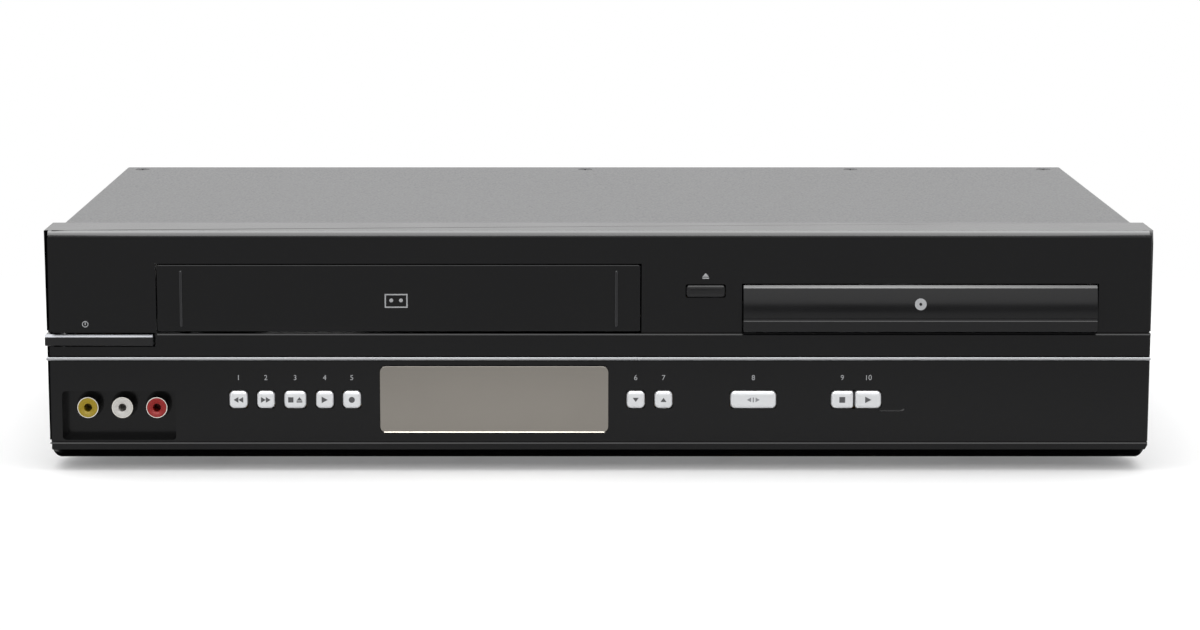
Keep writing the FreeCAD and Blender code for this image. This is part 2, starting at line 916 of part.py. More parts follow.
# throat behind the cassette opening: a floor and two side walls
throat_half = S.door_width / 2 + 0.7
throat_low = SEAM - 0.2 - S.throat_floor
bezel.pad("front", back(WALL),
          [rectangle(S.door_x - throat_half - S.throat_wall,
                     S.door_x + throat_half + S.throat_wall,
                     throat_low, SEAM - 0.2)], S.throat_depth - WALL)
for side in (-1, 1):
    wall_middle = S.door_x + (throat_half + S.throat_wall / 2) * side
    bezel.pad("front", back(WALL - 0.1),
              [rectangle(wall_middle - S.throat_wall / 2, wall_middle + S.throat_wall / 2,
                         SEAM - 1, TOP - WALL + 0.5)], 22.0)
# the throat leaves room behind the end of the standby key
bezel.cut("front", FACE - 1,
          [rectangle(standby_right - 4, standby_right + S.standby_bottom_gap,
                     standby_low - S.standby_bottom_gap, SEAM + 0.05)],
          WALL + S.standby_travel + 1.5)
# hanging ears that carry the pins of the cassette door
hinge_y = back(S.hinge_setback)
hinge_z = door_top + S.hinge_rise
ear_inner = S.door_arm_offset + S.door_arm_width + 1.6
for side in (-1, 1):
    ear_low = S.door_x + (ear_inner + 1.2) * side - 1.2
    bezel.pad("side", ear_low,
              [rectangle(hinge_y - 3, hinge_y + 3, hinge_z - 3, TOP - WALL + 0.5)], 2.4)
bezel.cut("side", S.door_x - ear_inner - 2.9,
          [circle(hinge_y, hinge_z, S.hinge_pin + S.running_gap)], ear_inner * 2 + 5.8)
# bosses that hold the front boards
board_y = back(S.front_board_setback)
plunger_end = S.front_board_setback - S.switch_height - S.plunger_height
bosses = [
    (window_x - 118.9, PANEL + 2.3), (window_x - 118.9, PANEL + 28),
    (window_left - 5.4, PANEL + 2.3), (window_right + 6.0, PANEL + 2.3),
    (window_right + 76.1, PANEL + 28), (window_right + 76.1, PANEL + 2.3),
    (standby_stem_x - 8, SEAM + 3), (standby_stem_x + 10, SEAM + 3),
    (S.tray_key_x, DOOR + 24.5), (S.tray_key_x, DOOR + 8.5),
]
bezel.pad("front", back(WALL - 0.1), [circle(x, z, S.boss_radius) for x, z in bosses],
          S.front_board_setback - WALL + 0.1)
# bosses above the pan, for the screws that come from below
pan_screws = [(x, back(S.bezel_depth - 4.4)) for x in (-150, -50, 50, 150)]
bezel.pad("top", PAN_TOP + 0.2, [circle(x, y, 4.0) for x, y in pan_screws], 8.0)
bezel.cut("top", PAN_TOP - 1, [circle(x, y, S.screw_hole) for x, y in pan_screws], 8.0)
bezel.body.Tip.Refine = True

# Silver bar that sits in the groove across the whole front
trim = Piece("silver_trim")
trim_half = HALF - GAP
trim_low = TRIM + S.trim_slack / 2
trim_top = LEDGE - S.trim_slack / 2
trim.pad("front", FACE - S.trim_proud, [rectangle(-trim_half, trim_half, trim_low, trim_top)],
         S.trim_proud + S.trim_seat)
trim.round(0.6, any_of(on(y=FACE - S.trim_proud, z=trim_low),
                       on(y=FACE - S.trim_proud, z=trim_top),
                       on(y=FACE - S.trim_proud, x=-trim_half),
                       on(y=FACE - S.trim_proud, x=trim_half)))

# Display window: a thick tinted pane with a bevelled edge
window = Piece("display_window")
window.pad("front", FACE - S.window_proud,
           [rounded(window_left, window_right, window_low, window_top, S.window_corner)],
           S.window_proud + S.window_seat)
window.bevel(S.window_bevel, lambda edge: abs(edge.BoundBox.YMax - float(FACE - S.window_proud)) < 0.02)

# Cassette door: a ribbed flap on two arms
door_front = back(S.door_setback)
door = Piece("cassette_door")
door.pad("front", door_front, [rounded(door_left, door_right, DOOR, door_top, S.door_corner)],
         S.door_thickness)
door.round(S.door_edge, lambda edge: abs(edge.BoundBox.YMax - float(door_front)) < 0.02)
rib_low = DOOR + 1.6
for side in (-1, 1):
    rib_middle = S.door_x + S.door_rib_offset * side
    door.pad("front", door_front + 0.2,
             [rectangle(rib_middle - S.door_rib_width / 2, rib_middle + S.door_rib_width / 2,
                        rib_low, rib_low + S.door_rib_height)], 0.6, ahead=False)
door_rear = door_front + S.door_thickness
for side in (-1, 1):
    arm_middle = S.door_x + (S.door_arm_offset + S.door_arm_width / 2) * side
    door.pad("side", arm_middle - S.door_arm_width / 2,
             [polygon((door_rear - 0.2, door_top - 9), (door_rear + 2.4, door_top - 9),
                      (hinge_y + 1.6, hinge_z - 1.4), (hinge_y - 2.2, hinge_z - 0.4),
                      (door_rear + 0.3, door_top - 0.1), (door_rear - 0.2, door_top - 0.1))],
             S.door_arm_width)
    door.pad("side", arm_middle - S.door_arm_width / 2, [circle(hinge_y, hinge_z, S.hinge_hub)],
             S.door_arm_width)
    pin_length = 1.6 + 2.2
    pin_start = arm_middle + (S.door_arm_width / 2 + pin_length / 2 - 0.1) * side
    door.pad("side", pin_start - pin_length / 2 - 0.05, [circle(hinge_y, hinge_z, S.hinge_pin)],
             pin_length + 0.1)

# Front of the disc tray: a moulded bar with a set-back lip below
tray_face = FACE - S.tray_front_proud
front = Piece("tray_front")
front.pad("front", tray_face, [rounded(tray_left, tray_right, tray_low, tray_top,
                                       S.tray_front_corner)], S.tray_front_thickness)
front.cut("front", tray_face - 1,
          [rectangle(tray_left - 1, tray_right + 1, tray_low - 1, tray_low + S.tray_lip_height)],
          S.tray_lip_step + 1)
front.cut("side", tray_left - 1, [nick(tray_face, tray_top, 1.2, 1, -1)],
          S.tray_front_width + 2)


# Keys: a cap, a flange that holds it in, and a stem that reaches the switch
def key(label, left, right, low, height, corner):
    cap = Piece(label)
    cap_front = FACE - S.button_proud
    flange_y = back(WALL + 0.2)
    middle = (left + right) / 2
    cap.pad("front", cap_front, [rounded(left, right, low, low + height, corner)],
            S.button_proud + WALL + 0.2 + S.key_flange)
    cap.round(S.key_edge, lambda edge: abs(edge.BoundBox.YMax - float(cap_front)) < 0.02)
    cap.pad("front", flange_y,
            [rectangle(left + 0.3, right - 0.3, low - S.key_overhang,
                       low + height + S.key_overhang)], S.key_flange)
    cap.pad("front", flange_y, [circle(middle, low + height / 2, S.key_stem)],
            plunger_end - S.key_travel - 0.1 - WALL - 0.2)
    return middle, low + height / 2


LABELS = {
    "rewind": "rewind_button", "forward": "fast_forward_button",
    "stop_eject": "stop_eject_button", "play": "play_button", "record": "record_button",
    "tracking_down": "tracking_down_button", "tracking_up": "tracking_up_button",
    "source": "source_button", "disc_stop": "disc_stop_button",
    "disc_play": "disc_play_button", "tray_key": "open_close_button",
}
switch_spots = []
for name, low, height, corner in KEYS:
    middle, width = key_x(name), S[name + "_width"]
    switch_spots.append(key(LABELS[name], middle - width / 2, middle + width / 2, low, height,
                            corner))

# Standby key: an angled bar that turns the left front corner of the cabinet
standby = Piece("standby_button")
standby_front = FACE - S.standby_proud
standby_middle = (standby_low + standby_top) / 2
standby.pad("front", standby_front,
            [rectangle(-HALF, standby_right, standby_low, standby_top)], S.standby_thickness)
standby.pad("front", standby_front + 1,
            [rectangle(-HALF, WALL - 0.2 - HALF, standby_low, standby_top)],
            S.standby_wrap + S.standby_proud - 1)
standby.round(S.standby_edge, any_of(on(x=-HALF, y=standby_front),
                                     on(x=standby_right, z=standby_low)))
standby.round(0.5, any_of(on(y=standby_front, z=standby_top), on(y=standby_front, z=standby_low)))
standby.pad("front", standby_front + S.standby_thickness - 0.3,
            [rectangle(WALL + 1.5 - HALF, standby_right - 1.5, standby_low + 0.4,
                       standby_top - 0.4)], WALL + 0.5 + S.key_flange)
standby.pad("front", back(WALL + 0.2),
            [rectangle(WALL + 1.5 - HALF, standby_right - 3, standby_low - 1.4,
                       standby_top - 0.4)], S.key_flange)
standby.pad("front", back(WALL + 0.2), [circle(standby_stem_x, standby_middle, S.key_stem)],
            plunger_end - S.standby_travel - 0.1 - WALL - 0.2)

# Bottom pan: a folded tray with side flanges, screw holes and vents
PAN_HALF = INNER_HALF - 0.2
pan_front = back(S.bezel_depth - 7.6)
panel_front = lip_front - S.sheet_steel
pan = Piece("chassis_pan")
pan.pad("top", S.foot_height, [rectangle(-PAN_HALF, PAN_HALF, pan_front, lip_front)],
        S.pan_thickness)
for side in (-1, 1):
    flange_middle = (PAN_HALF - 0.5) * side
    pan.pad("top", S.foot_height,
            [rectangle(flange_middle - 0.5, flange_middle + 0.5, back(S.bezel_depth + 4),
                       panel_front)], S.flange_height)
pan.cut("side", -HALF, [circle(y, side_screw_z, S.screw_hole) for y in side_screws],
        S.case_width)
pan.cut("top", S.foot_height - 1, [circle(x, y, S.screw_hole) for x, y in pan_screws],
        S.pan_thickness + 2)
for side in (-1, 1):
    vent_middle = 60.0 * side
    pan.cut("top", S.foot_height - 1,
            [rounded(vent_middle - 40, vent_middle - 37, back(110), back(150), 1.4)],
            S.pan_thickness + 2)
    pan.repeat("X_Axis", 77, 12)

# Feet: four rubber discs, hollow below
foot_spots = [
    (x, y)
    for x in (S.foot_inset_side - HALF, HALF - S.foot_inset_side)
    for y in (back(S.foot_inset_front), back(S.case_depth - S.foot_inset_rear))
]
node("feet", group(*[
    cut(
        fuse(cone(x, y, 0, S.foot_radius - 0.8, S.foot_radius, 1.2),
             rod("z", x, y, 1.2, S.foot_radius, S.foot_height - 1.2)),
        rod("z", x, y, -1, 3.5, 3.0),
    )
    for x, y in foot_spots
]))

# Rear panel with its folded top edge and the holes for sockets, gland and air
gland_x = right_in(S.gland_inset)
tuner_left = S.tuner_x - S.tuner_width / 2
aerial_x = [S.tuner_x - S.aerial_pitch / 2, S.tuner_x + S.aerial_pitch / 2]
rear_jack_x = right_in(S.rear_jack_inset)
rear_jacks = [
    (rear_jack_x + S.rear_jack_pitch * column, S.rear_jack_low + S.rear_jack_rise * row)
    for row in range(2)
    for column in range(5)
]
rear_top = COVER_TOP - S.sheet_steel
panel = Piece("rear_panel")
panel.pad("front", panel_front, [rectangle(-PAN_HALF, PAN_HALF, PAN_TOP, rear_top)],
          S.sheet_steel)
panel.pad("top", rear_top - S.sheet_steel,
          [rectangle(-PAN_HALF, PAN_HALF, panel_front - 12, panel_front + 0.1)], S.sheet_steel)
panel.cut("top", rear_top - 2, [circle(x, screw_row, S.screw_hole) for x in top_screws], 3)
for half in (rear_jacks[:5], rear_jacks[5:]):
    panel.cut("front", panel_front - 1, [circle(x, z, S.jack_hole) for x, z in half], 3)
panel.cut("front", panel_front - 1,
          [circle(x, S.aerial_z, S.aerial_radius + 0.2) for x in aerial_x]
          + [circle(gland_x, S.gland_z, S.gland_radius + 0.1)], 3)
panel.cut("front", panel_front - 1, [rounded(-150, -147, 55.0, 80.0, 1.4)], 3)
panel.repeat("X_Axis", 66, 12)

# Rear socket block: a moulding whose ten socket cores pass through the rear panel
jack_tip = back(S.case_depth + S.jack_proud)
block_front = panel_front - S.rear_block_depth
rear_block = Piece("rear_jack_block")
rear_block.pad("front", block_front,
               [rectangle(rear_jack_x - S.rear_block_margin,
                          rear_jack_x + S.rear_jack_pitch * 4 + S.rear_block_margin,
                          S.board_z + S.board_thickness,
                          S.rear_jack_low + S.rear_jack_rise + S.rear_block_margin)],
               S.rear_block_depth)
for half in (rear_jacks[:5], rear_jacks[5:]):
    rear_block.pad("front", panel_front - 0.1,
                   [circle(x, z, S.jack_bore) for x, z in half],
                   S.jack_proud + S.sheet_steel * 2 - 0.2)
for half in (rear_jacks[:5], rear_jacks[5:]):
    rear_block.cut("front", panel_front + 1, [circle(x, z, S.jack_contact) for x, z in half],
                   S.jack_proud + 4)

# Front sockets: coloured cores, each inside its metal barrel
core_length = S.front_board_setback - S.jack_setback - 0.2
for x, colour in zip(jack_x, ("yellow", "white", "red")):
    core = rod("y", x, back(S.jack_setback + 0.2), JACK_ROW, S.jack_bore, core_length)
    node("front_jack_" + colour,
         cut(core, rod("y", x, back(S.jack_setback - 1), JACK_ROW, S.jack_contact, 10)))

front_shells = [
    fuse(
        cut(rod("y", x, back(S.jack_setback), JACK_ROW, S.jack_radius,
                S.recess_depth + 2 - S.jack_setback),
            rod("y", x, FACE, JACK_ROW, S.jack_bore, 15)),
        cut(rod("y", x, back(S.recess_depth - 0.6), JACK_ROW, S.jack_radius + 1, 0.6),
            rod("y", x, FACE, JACK_ROW, S.jack_bore, 15)),
    )
    for x in jack_x
]
rear_shells = [
    cut(fuse(rod("y", x, panel_front, z, S.jack_radius, S.jack_proud + S.sheet_steel * 2),
             rod("y", x, lip_front, z, S.jack_radius + S.socket_collar, S.sheet_steel)),
        rod("y", x, panel_front - 1, z, S.jack_bore, S.jack_proud + 4))
    for x, z in rear_jacks
]
node("jack_shells", group(*front_shells, *rear_shells))

# Tuner: a screened box with two threaded aerial sockets
tuner_front = panel_front - S.tuner_depth
tuner_z = S.board_z + S.board_thickness
sockets = []
for x in aerial_x:
    sockets.append(rod("y", x, panel_front - 0.1, S.aerial_z, S.aerial_radius,
                       S.jack_proud + S.sheet_steel * 2 + 0.1))
    sockets.append(rod("y", x, lip_front, S.aerial_z, S.aerial_radius + S.socket_collar,
                       S.sheet_steel))
cavities = [rod("y", x, panel_front + 2, S.aerial_z, 3.4, S.jack_proud + 2) for x in aerial_x]
cores = [rod("y", x, panel_front, S.aerial_z, 2.6, S.jack_proud) for x in aerial_x]
cores_bore = [rod("y", x, panel_front + 3, S.aerial_z, 0.6, S.jack_proud) for x in aerial_x]
tuner_box = box((tuner_left, tuner_left + S.tuner_width), (tuner_front, panel_front),
                (tuner_z, tuner_z + S.tuner_height))
ridges = [
    box((tuner_left + 8 + 14 * index, tuner_left + 9 + 14 * index),
        (tuner_front + 3, panel_front - 3),
        (tuner_z + S.tuner_height - 0.1, tuner_z + S.tuner_height + 0.6))
    for index in range(4)
]
node("tuner_box", cut(fuse(cut(fuse(tuner_box, *sockets, *ridges), *cavities), *cores),
                      *cores_bore))

# Gland of the supply lead: a flanged plastic bush through the rear panel
gland_outer = rod("y", gland_x, lip_front, S.gland_z, S.gland_flange, 2.2)
gland_neck = rod("y", gland_x, lip_front - S.gland_length + 2.2, S.gland_z, S.gland_radius,
                 S.gland_length)
gland_nut = rod("y", gland_x, panel_front - 3.2, S.gland_z, S.gland_flange, 3.0)
node("cord_bushing", cut(fuse(gland_outer, gland_neck, gland_nut),
                         rod("y", gland_x, back(200), S.gland_z, S.gland_bore, 50)))

# Screws of the case: countersunk ones on top, round heads at the sides and below
screws = []
for x in top_screws:
    screws.append(fuse(
        rod("z", x, screw_row, rear_top, S.screw_head, S.sheet_steel - 0.1),
        rod("z", x, screw_row, rear_top - 6, S.screw_radius, 6.1),
    ))
    screws[-1] = cut(screws[-1], *[
        box((x - a, x + a), (screw_row - b, screw_row + b), (COVER_TOP - 0.5, COVER_TOP + 1))
        for a, b in ((1.6, 0.3), (0.3, 1.6))
    ])
for side in (-1, 1):
    for y in side_screws:
        head_middle = (COVER_HALF + 1.1) * side
        shaft_middle = (COVER_HALF - 2.9) * side
        screws.append(fuse(
            rod("x", head_middle - 1.1, y, side_screw_z, S.screw_head, 2.2),
            rod("x", shaft_middle - 3.0, y, side_screw_z, S.screw_radius, 6.0),
        ))
for x, y in pan_screws:
    screws.append(fuse(
        rod("z", x, y, S.foot_height - 1.8, S.screw_head, 1.8),
        rod("z", x, y, S.foot_height - 0.1, S.screw_radius, 7.5),
    ))
node("case_screws", group(*screws))

# Main board on six spacers, with chips, connectors and capacitors
board_front_y = back(S.board_front)
board_top = S.board_z + S.board_thickness
board_left = left_in(S.board_left_inset)
board_right = right_in(S.board_right_inset)
board = Piece()
board.pad("top", S.board_z,
          [polygon((board_left, board_front_y), (S.board_step_x, board_front_y),
                   (S.board_step_x, back(S.board_step)), (board_right, back(S.board_step)),
                   (board_right, back(S.board_rear)), (board_left, back(S.board_rear)))],
          S.board_thickness)
spacer_spots = [
    (board_left + 5, board_front_y + 5), (S.board_step_x - 5, board_front_y + 5),
    (board_left + 5, back(S.board_rear - 5)), (board_right - 5, back(S.board_rear - 5)),
    (board_left + 110, back(S.board_rear - 60)), (S.board_step_x - 5, back(S.board_step + 3)),
]
spacers = [rod("z", x, y, PAN_TOP, 3.0, S.board_z - PAN_TOP) for x, y in spacer_spots]
chips = [
    (22, 75, 22, 22, 2.2), (62, 80, 14, 9, 1.8), (112, 75, 18, 18, 2.0),
    (152, 72, 10, 6, 1.6), (192, 76, 14, 9, 1.8), (22, 125, 12, 8, 1.8),
    (62, 120, 20, 20, 2.2), (147, 118, 28, 10, 2.6), (192, 120, 16, 6, 5.0),
    (22, 170, 24, 7, 5.0), (197, 165, 9, 24, 5.0), (47, 200, 16, 10, 2.0),
]
chip_boxes = [
    box((board_left + x - w / 2, board_left + x + w / 2), (back(y - d / 2), back(y + d / 2)),
        (board_top, board_top + h))
    for x, y, w, d, h in chips
]
cans = [
    rod("z", board_left + x, back(y), board_top, r, h)
    for x, y, r, h in (
        (206, 205, 4, 12), (184, 208, 4, 12), (200, 190, 3, 9), (4, 150, 2.5, 8),
        (4, 142, 2.5, 8),
    )
]
cans.append(rod("z", board_right - 56, back(200), board_top, S.capacitor_radius,
                S.capacitor_height))
cans.append(rod("z", board_right - 50, back(213), board_top, 4, 14))
node("main_board", group(fuse(board.body, *spacers), *chip_boxes, *cans))

# Mains transformer: laminated core with a wound bobbin
transformer_x = board_right - S.transformer_inset
core_front = back(S.board_rear - 1.5 - S.transformer_depth)
core_span = (transformer_x, transformer_x + S.transformer_width)
bobbin = box((transformer_x + 5, transformer_x + S.transformer_width - 5),
             (core_front - 4, core_front + S.transformer_depth - 0.5),
             (board_top + 4, board_top + S.transformer_height - 4))
core_block = box(core_span, (core_front + 4, core_front + S.transformer_depth - 4),
                 (board_top, board_top + S.transformer_height))
node("power_transformer", fuse(bobbin, core_block))

# Display module behind the window
module_front = back(S.display_setback)
display = Piece("display_module")
display.pad("front", module_front,
            [rectangle(window_left + 1, window_right - 1, window_low, window_top)],
            S.display_thickness)
display.cut("front", module_front - 1,
            [rectangle(window_left + 4, window_right - 4, window_low + 4, window_top - 4)], 1.6)
pins_low = window_low + 2
display.pad("front", module_front + S.display_thickness - 0.1,
            [rectangle(window_left + 8, window_left + 60, pins_low, pins_low + 3)],
            S.front_board_setback - S.display_setback - S.display_thickness - 0.1)

# Front boards: the long key board and two small ones, with a switch behind each key
switch_y = board_y - S.switch_height
main_strip = box((left_in(S.front_board_inset), key_x("disc_play") + 13.65), (board_y, board_y + S.board_thickness),
                 (S.front_board_bottom, S.front_board_top))
standby_strip = box((standby_stem_x - 12, standby_stem_x + 12),
                    (board_y, board_y + S.board_thickness), (S.front_board_top + 2, SEAM + 5.5))
tray_strip = box((S.tray_key_x - 9, S.tray_key_x + 8.5), (board_y, board_y + S.board_thickness),
                 (DOOR + 4.5, DOOR + 28.5))
switches = []
half_switch = S.switch_size / 2
for x, z in switch_spots + [(standby_stem_x, standby_middle)]:
    switches.append(fuse(
        box((x - half_switch, x + half_switch), (switch_y, board_y),
            (z - half_switch, z + half_switch)),
        rod("y", x, switch_y - S.plunger_height, z, S.plunger_radius, S.plunger_height + 0.1),
    ))
node("front_board", group(main_strip, standby_strip, tray_strip, *switches))


# Cassette deck. Its pieces are placed from the middle of the cassette opening.
def deck_x(offset):
    return S.door_x + offset


def pair(maker):
    """The same piece on the left and on the right."""
    return [maker(-1), maker(1)]


def across(offset, thickness, side):
    """The span in X of a sheet that stands at a distance from the middle."""
    inner = offset * side
    outer = (offset + thickness) * side
    return (deck_x(outer), deck_x(inner)) if side < 0 else (deck_x(inner), deck_x(outer))


RUN = S.running_gap
deck_top = S.deck_z + S.deck_thickness
reel_y = back(S.reel_setback)
drum_y = back(S.drum_setback)
capstan_y = back(S.capstan_setback)
capstan_x = deck_x(S.capstan_x)
pivot_x, pivot_y = deck_x(S.arm_pivot_x), back(S.arm_pivot_setback)
cam_x, cam_y = deck_x(S.cam_x), back(S.cam_setback)
cam_centres = S.cam_module * (S.cam_teeth + S.pinion_teeth) / 2
pinion_y = cam_y - cam_centres
reel_x = [deck_x(-S.reel_pitch / 2), deck_x(S.reel_pitch / 2)]

# Deck plate: a pressed sheet on four legs, with its posts and bushes
deck = Piece("deck_plate")
deck.pad("top", S.deck_z,
         [rectangle(deck_x(-S.deck_half), deck_x(S.deck_half), back(S.deck_front),
                    back(S.deck_rear))], S.deck_thickness)
leg_half = S.leg_size / 2
leg_spots = [
    (deck_x((S.deck_half - leg_half) * side), y)
    for side in (-1, 1)
    for y in (back(S.deck_front) + leg_half, back(S.deck_rear) - leg_half)
]
for x, y in leg_spots:
    deck.pad("top", PAN_TOP,
             [rectangle(x - leg_half, x + leg_half, y - leg_half, y + leg_half)],
             S.deck_z - PAN_TOP + 0.2)
deck.cut("top", S.deck_z - 1, [circle(S.door_x, drum_y, S.drum_shaft + 2.0)],
         S.deck_thickness + 2)
deck.cut("top", S.deck_z - 1,
         [rectangle(deck_x(-20), deck_x(20), back(S.deck_front + 8), back(S.deck_front + 30))],
         S.deck_thickness + 2)
# bushes of the capstan and of the idler, bored through
bush_low = S.deck_z - 3.6
bush_top = S.arm_z - 0.5
deck.pad("top", bush_low, [circle(capstan_x, capstan_y, S.capstan_bush)],
         bush_top - bush_low)
deck.cut("top", bush_low - 1, [circle(capstan_x, capstan_y, S.capstan_radius + RUN)],
         bush_top - bush_low + 2)
deck.pad("top", bush_low, [circle(S.door_x, reel_y, 4.5)], deck_top + 1 - bush_low)
deck.cut("top", bush_low - 1, [circle(S.door_x, reel_y, S.reel_post + RUN)], 8)
# posts of the reels, of the pinch arm and of the cam gear, each on a shoulder
for x, y, radius, top, shoulder, seat in (
    (reel_x[0], reel_y, S.reel_post, S.reel_spindle_top - 3, 4.0, deck_top + 0.8),
    (reel_x[1], reel_y, S.reel_post, S.reel_spindle_top - 3, 4.0, deck_top + 0.8),
    (pivot_x, pivot_y, S.reel_post, deck_top + 9, 4.0, deck_top + 0.6),
    (cam_x, cam_y, 2.5, S.cam_z + 6, 5.0, S.cam_z - 3.8),
):
    deck.pad("top", deck_top - 0.2, [circle(x, y, shoulder)], seat - deck_top + 0.2)
    deck.pad("top", seat - 0.2, [circle(x, y, radius)], top - seat + 0.2)

# Side rails with the elbow slot that guides the cassette in and then down
elbows = [back(S.cassette_rear - S.holder_length + 1 + S.pin_front_inset - 1),
          back(S.cassette_rear - S.pin_rear_inset)]
slot = S.pin_slot_half
slot_floor = S.pin_z - S.holder_drop
slot_front = elbows[0] - S.holder_travel


def elbow_slot():
    return polygon(
        (slot_front - slot, S.pin_z - slot), (elbows[0] - slot, S.pin_z - slot),
        (elbows[0] - slot, slot_floor - slot), (elbows[0] + slot, slot_floor - slot),
        (elbows[0] + slot, S.pin_z - slot), (elbows[1] - slot, S.pin_z - slot),
        (elbows[1] - slot, slot_floor - slot), (elbows[1] + slot, slot_floor - slot),
        (elbows[1] + slot, S.pin_z + slot), (slot_front - slot, S.pin_z + slot),
    )


holder_outer = S.holder_inner_half + S.sheet_steel
slide_inner = holder_outer + S.slide_gap
rail_inner = slide_inner + S.slide_thickness + S.rail_gap


def rail(side):
    start, stop = across(rail_inner, S.rail_thickness, side)
    sheet_side = Piece()
    sheet_side.pad("side", start,
                   [rectangle(back(S.rail_front), back(S.rail_rear), deck_top, S.rail_top)],
                   stop - start)
    sheet_side.cut("side", start - 1, [elbow_slot()], stop - start + 2)
    sheet_side.cut("side", start - 1,
                   [rectangle(back(S.rail_front + 10), back(S.rail_front + 60),
                              deck_top + 8, slot_floor - 8)], stop - start + 2)
    return sheet_side.body


node("holder_rails", group(*pair(rail)))


def slide(side):
    start, stop = across(slide_inner, S.slide_thickness, side)
    plate = Piece()
    plate.pad("side", start,
              [rectangle(elbows[0] - 8, elbows[1] + 8, slot_floor - 4, S.rail_top + 1.3)],
              stop - start)
    for spot in elbows:
        plate.cut("side", start - 1,
                  [rectangle(spot - slot, spot + slot, slot_floor - slot, S.pin_z + slot)],
                  stop - start + 2)
    lip_start, lip_stop = across(slide_inner, S.slide_thickness + S.rail_gap + 1.6, side)
    plate.pad("top", S.rail_top + 0.3,
              [rectangle(lip_start, lip_stop, elbows[0] - 8, elbows[1] + 8)], 1.0)
    return plate.body


node("holder_slides", group(*pair(slide)))

# Cassette holder: a folded cage with a ledge on each side and four guide pins
holder = Piece("cassette_holder")
inner, outer = S.holder_inner_half, holder_outer
ledge_low = S.holder_floor - S.sheet_steel
holder_ceiling = S.holder_floor + S.holder_room
ledge_inner = inner - S.holder_ledge
holder_front = back(S.cassette_rear - S.holder_length)
corners = [(outer, ledge_low), (ledge_inner, ledge_low), (ledge_inner, S.holder_floor),
           (inner, S.holder_floor), (inner, holder_ceiling)]
rim = [(outer, holder_ceiling + S.sheet_steel)]
holder.pad("front", holder_front,
           [polygon(*[(deck_x(-u), v) for u, v in corners],
                    *[(deck_x(u), v) for u, v in reversed(corners)],
                    *[(deck_x(u), v) for u, v in rim],
                    *[(deck_x(-u), v) for u, v in rim])], S.holder_length)
holder.cut("top", holder_ceiling - 1,
           [rounded(deck_x(-60), deck_x(60), holder_front + 12, holder_front + 32, 3)],
           S.sheet_steel + 2)
pin_reach = S.slide_gap + S.slide_thickness + S.rail_gap + S.rail_thickness + 0.4
for side in (-1, 1):
    pin_middle = deck_x((outer + pin_reach / 2) * side)
    holder.pad("side", pin_middle - pin_reach / 2 - 0.1,
               [circle(spot, S.pin_z, S.pin_radius) for spot in elbows], pin_reach + 0.2)

def star(x, y, reach, half_width, start_angle):
    """An outline with three straight wings round a point."""
    spots = []
    for turn in range(3):
        angle = math.radians(start_angle + 120 * turn)
        cosine, sine = math.cos(angle), math.sin(angle)
        for side in (-1, 1):
            spots.append((x + reach * cosine - half_width * side * sine,
                          y + reach * sine + half_width * side * cosine))
        joint = half_width / math.sin(math.radians(60))
        between = angle + math.radians(60)
        spots.append((x + joint * math.cos(between), y + joint * math.sin(between)))
    return polygon(*spots)


# Reel tables: a felted flange, a hub and a three-winged spindle
for label, x in (("supply_reel", reel_x[0]), ("take_up_reel", reel_x[1])):
    flange_low = deck_top + 1.0
    wings = Piece()
    wings.pad("top", S.reel_hub_top - 1, [star(x, reel_y, S.reel_spindle, 1.0, 90)],
              S.reel_spindle_top - 1 - S.reel_hub_top)
    table = fuse(
        rod("z", x, reel_y, flange_low, S.reel_flange, S.reel_flange_height),
        rod("z", x, reel_y, flange_low, S.reel_hub, S.reel_hub_top - flange_low),
        rod("z", x, reel_y, flange_low, S.reel_spindle - 3, S.reel_spindle_top - flange_low),
        wings.body,
    )
    node(label, cut(table, rod("z", x, reel_y, deck_top, S.reel_post + RUN,
                               S.reel_spindle_top - deck_top - 2)))

# Idler between the reels: gear above the deck, belt pulley below
pulley_low = bush_low - 9.9
idler = fuse(
    rod("z", S.door_x, reel_y, pulley_low, S.reel_post, deck_top + 5.6 - pulley_low),
    rod("z", S.door_x, reel_y, pulley_low, S.idler_pulley, S.pulley_height),
    rod("z", S.door_x, reel_y, pulley_low, 4.0, bush_low - pulley_low - 0.4),
    rod("z", S.door_x, reel_y, deck_top + 1.2, 4.0, 1.0),
    rod("z", S.door_x, reel_y, deck_top + 2.0, S.idler_gear, 3.4),
)
notches = []
for turn in range(18):
    angle = math.radians(20 * turn)
    reach = float(S.idler_gear) + 0.2
    notch = rod("z", deck_x(reach * math.cos(angle)), reel_y + reach * math.sin(angle),
                deck_top + 1.9, 0.8, 3.6)
    notches.append(notch)
node("reel_idler", cut(idler, *notches))

# Capstan: ground shaft, flywheel and belt pulley
flywheel_low = bush_low - S.flywheel_height - 0.4
node("capstan", fuse(
    rod("z", capstan_x, capstan_y, pulley_low, S.capstan_radius, S.capstan_top - pulley_low),
    rod("z", capstan_x, capstan_y, flywheel_low, S.flywheel_radius, S.flywheel_height),
    rod("z", capstan_x, capstan_y, pulley_low, S.capstan_pulley, S.pulley_height),
    rod("z", capstan_x, capstan_y, pulley_low, 4.0, flywheel_low - pulley_low + 0.1),
))

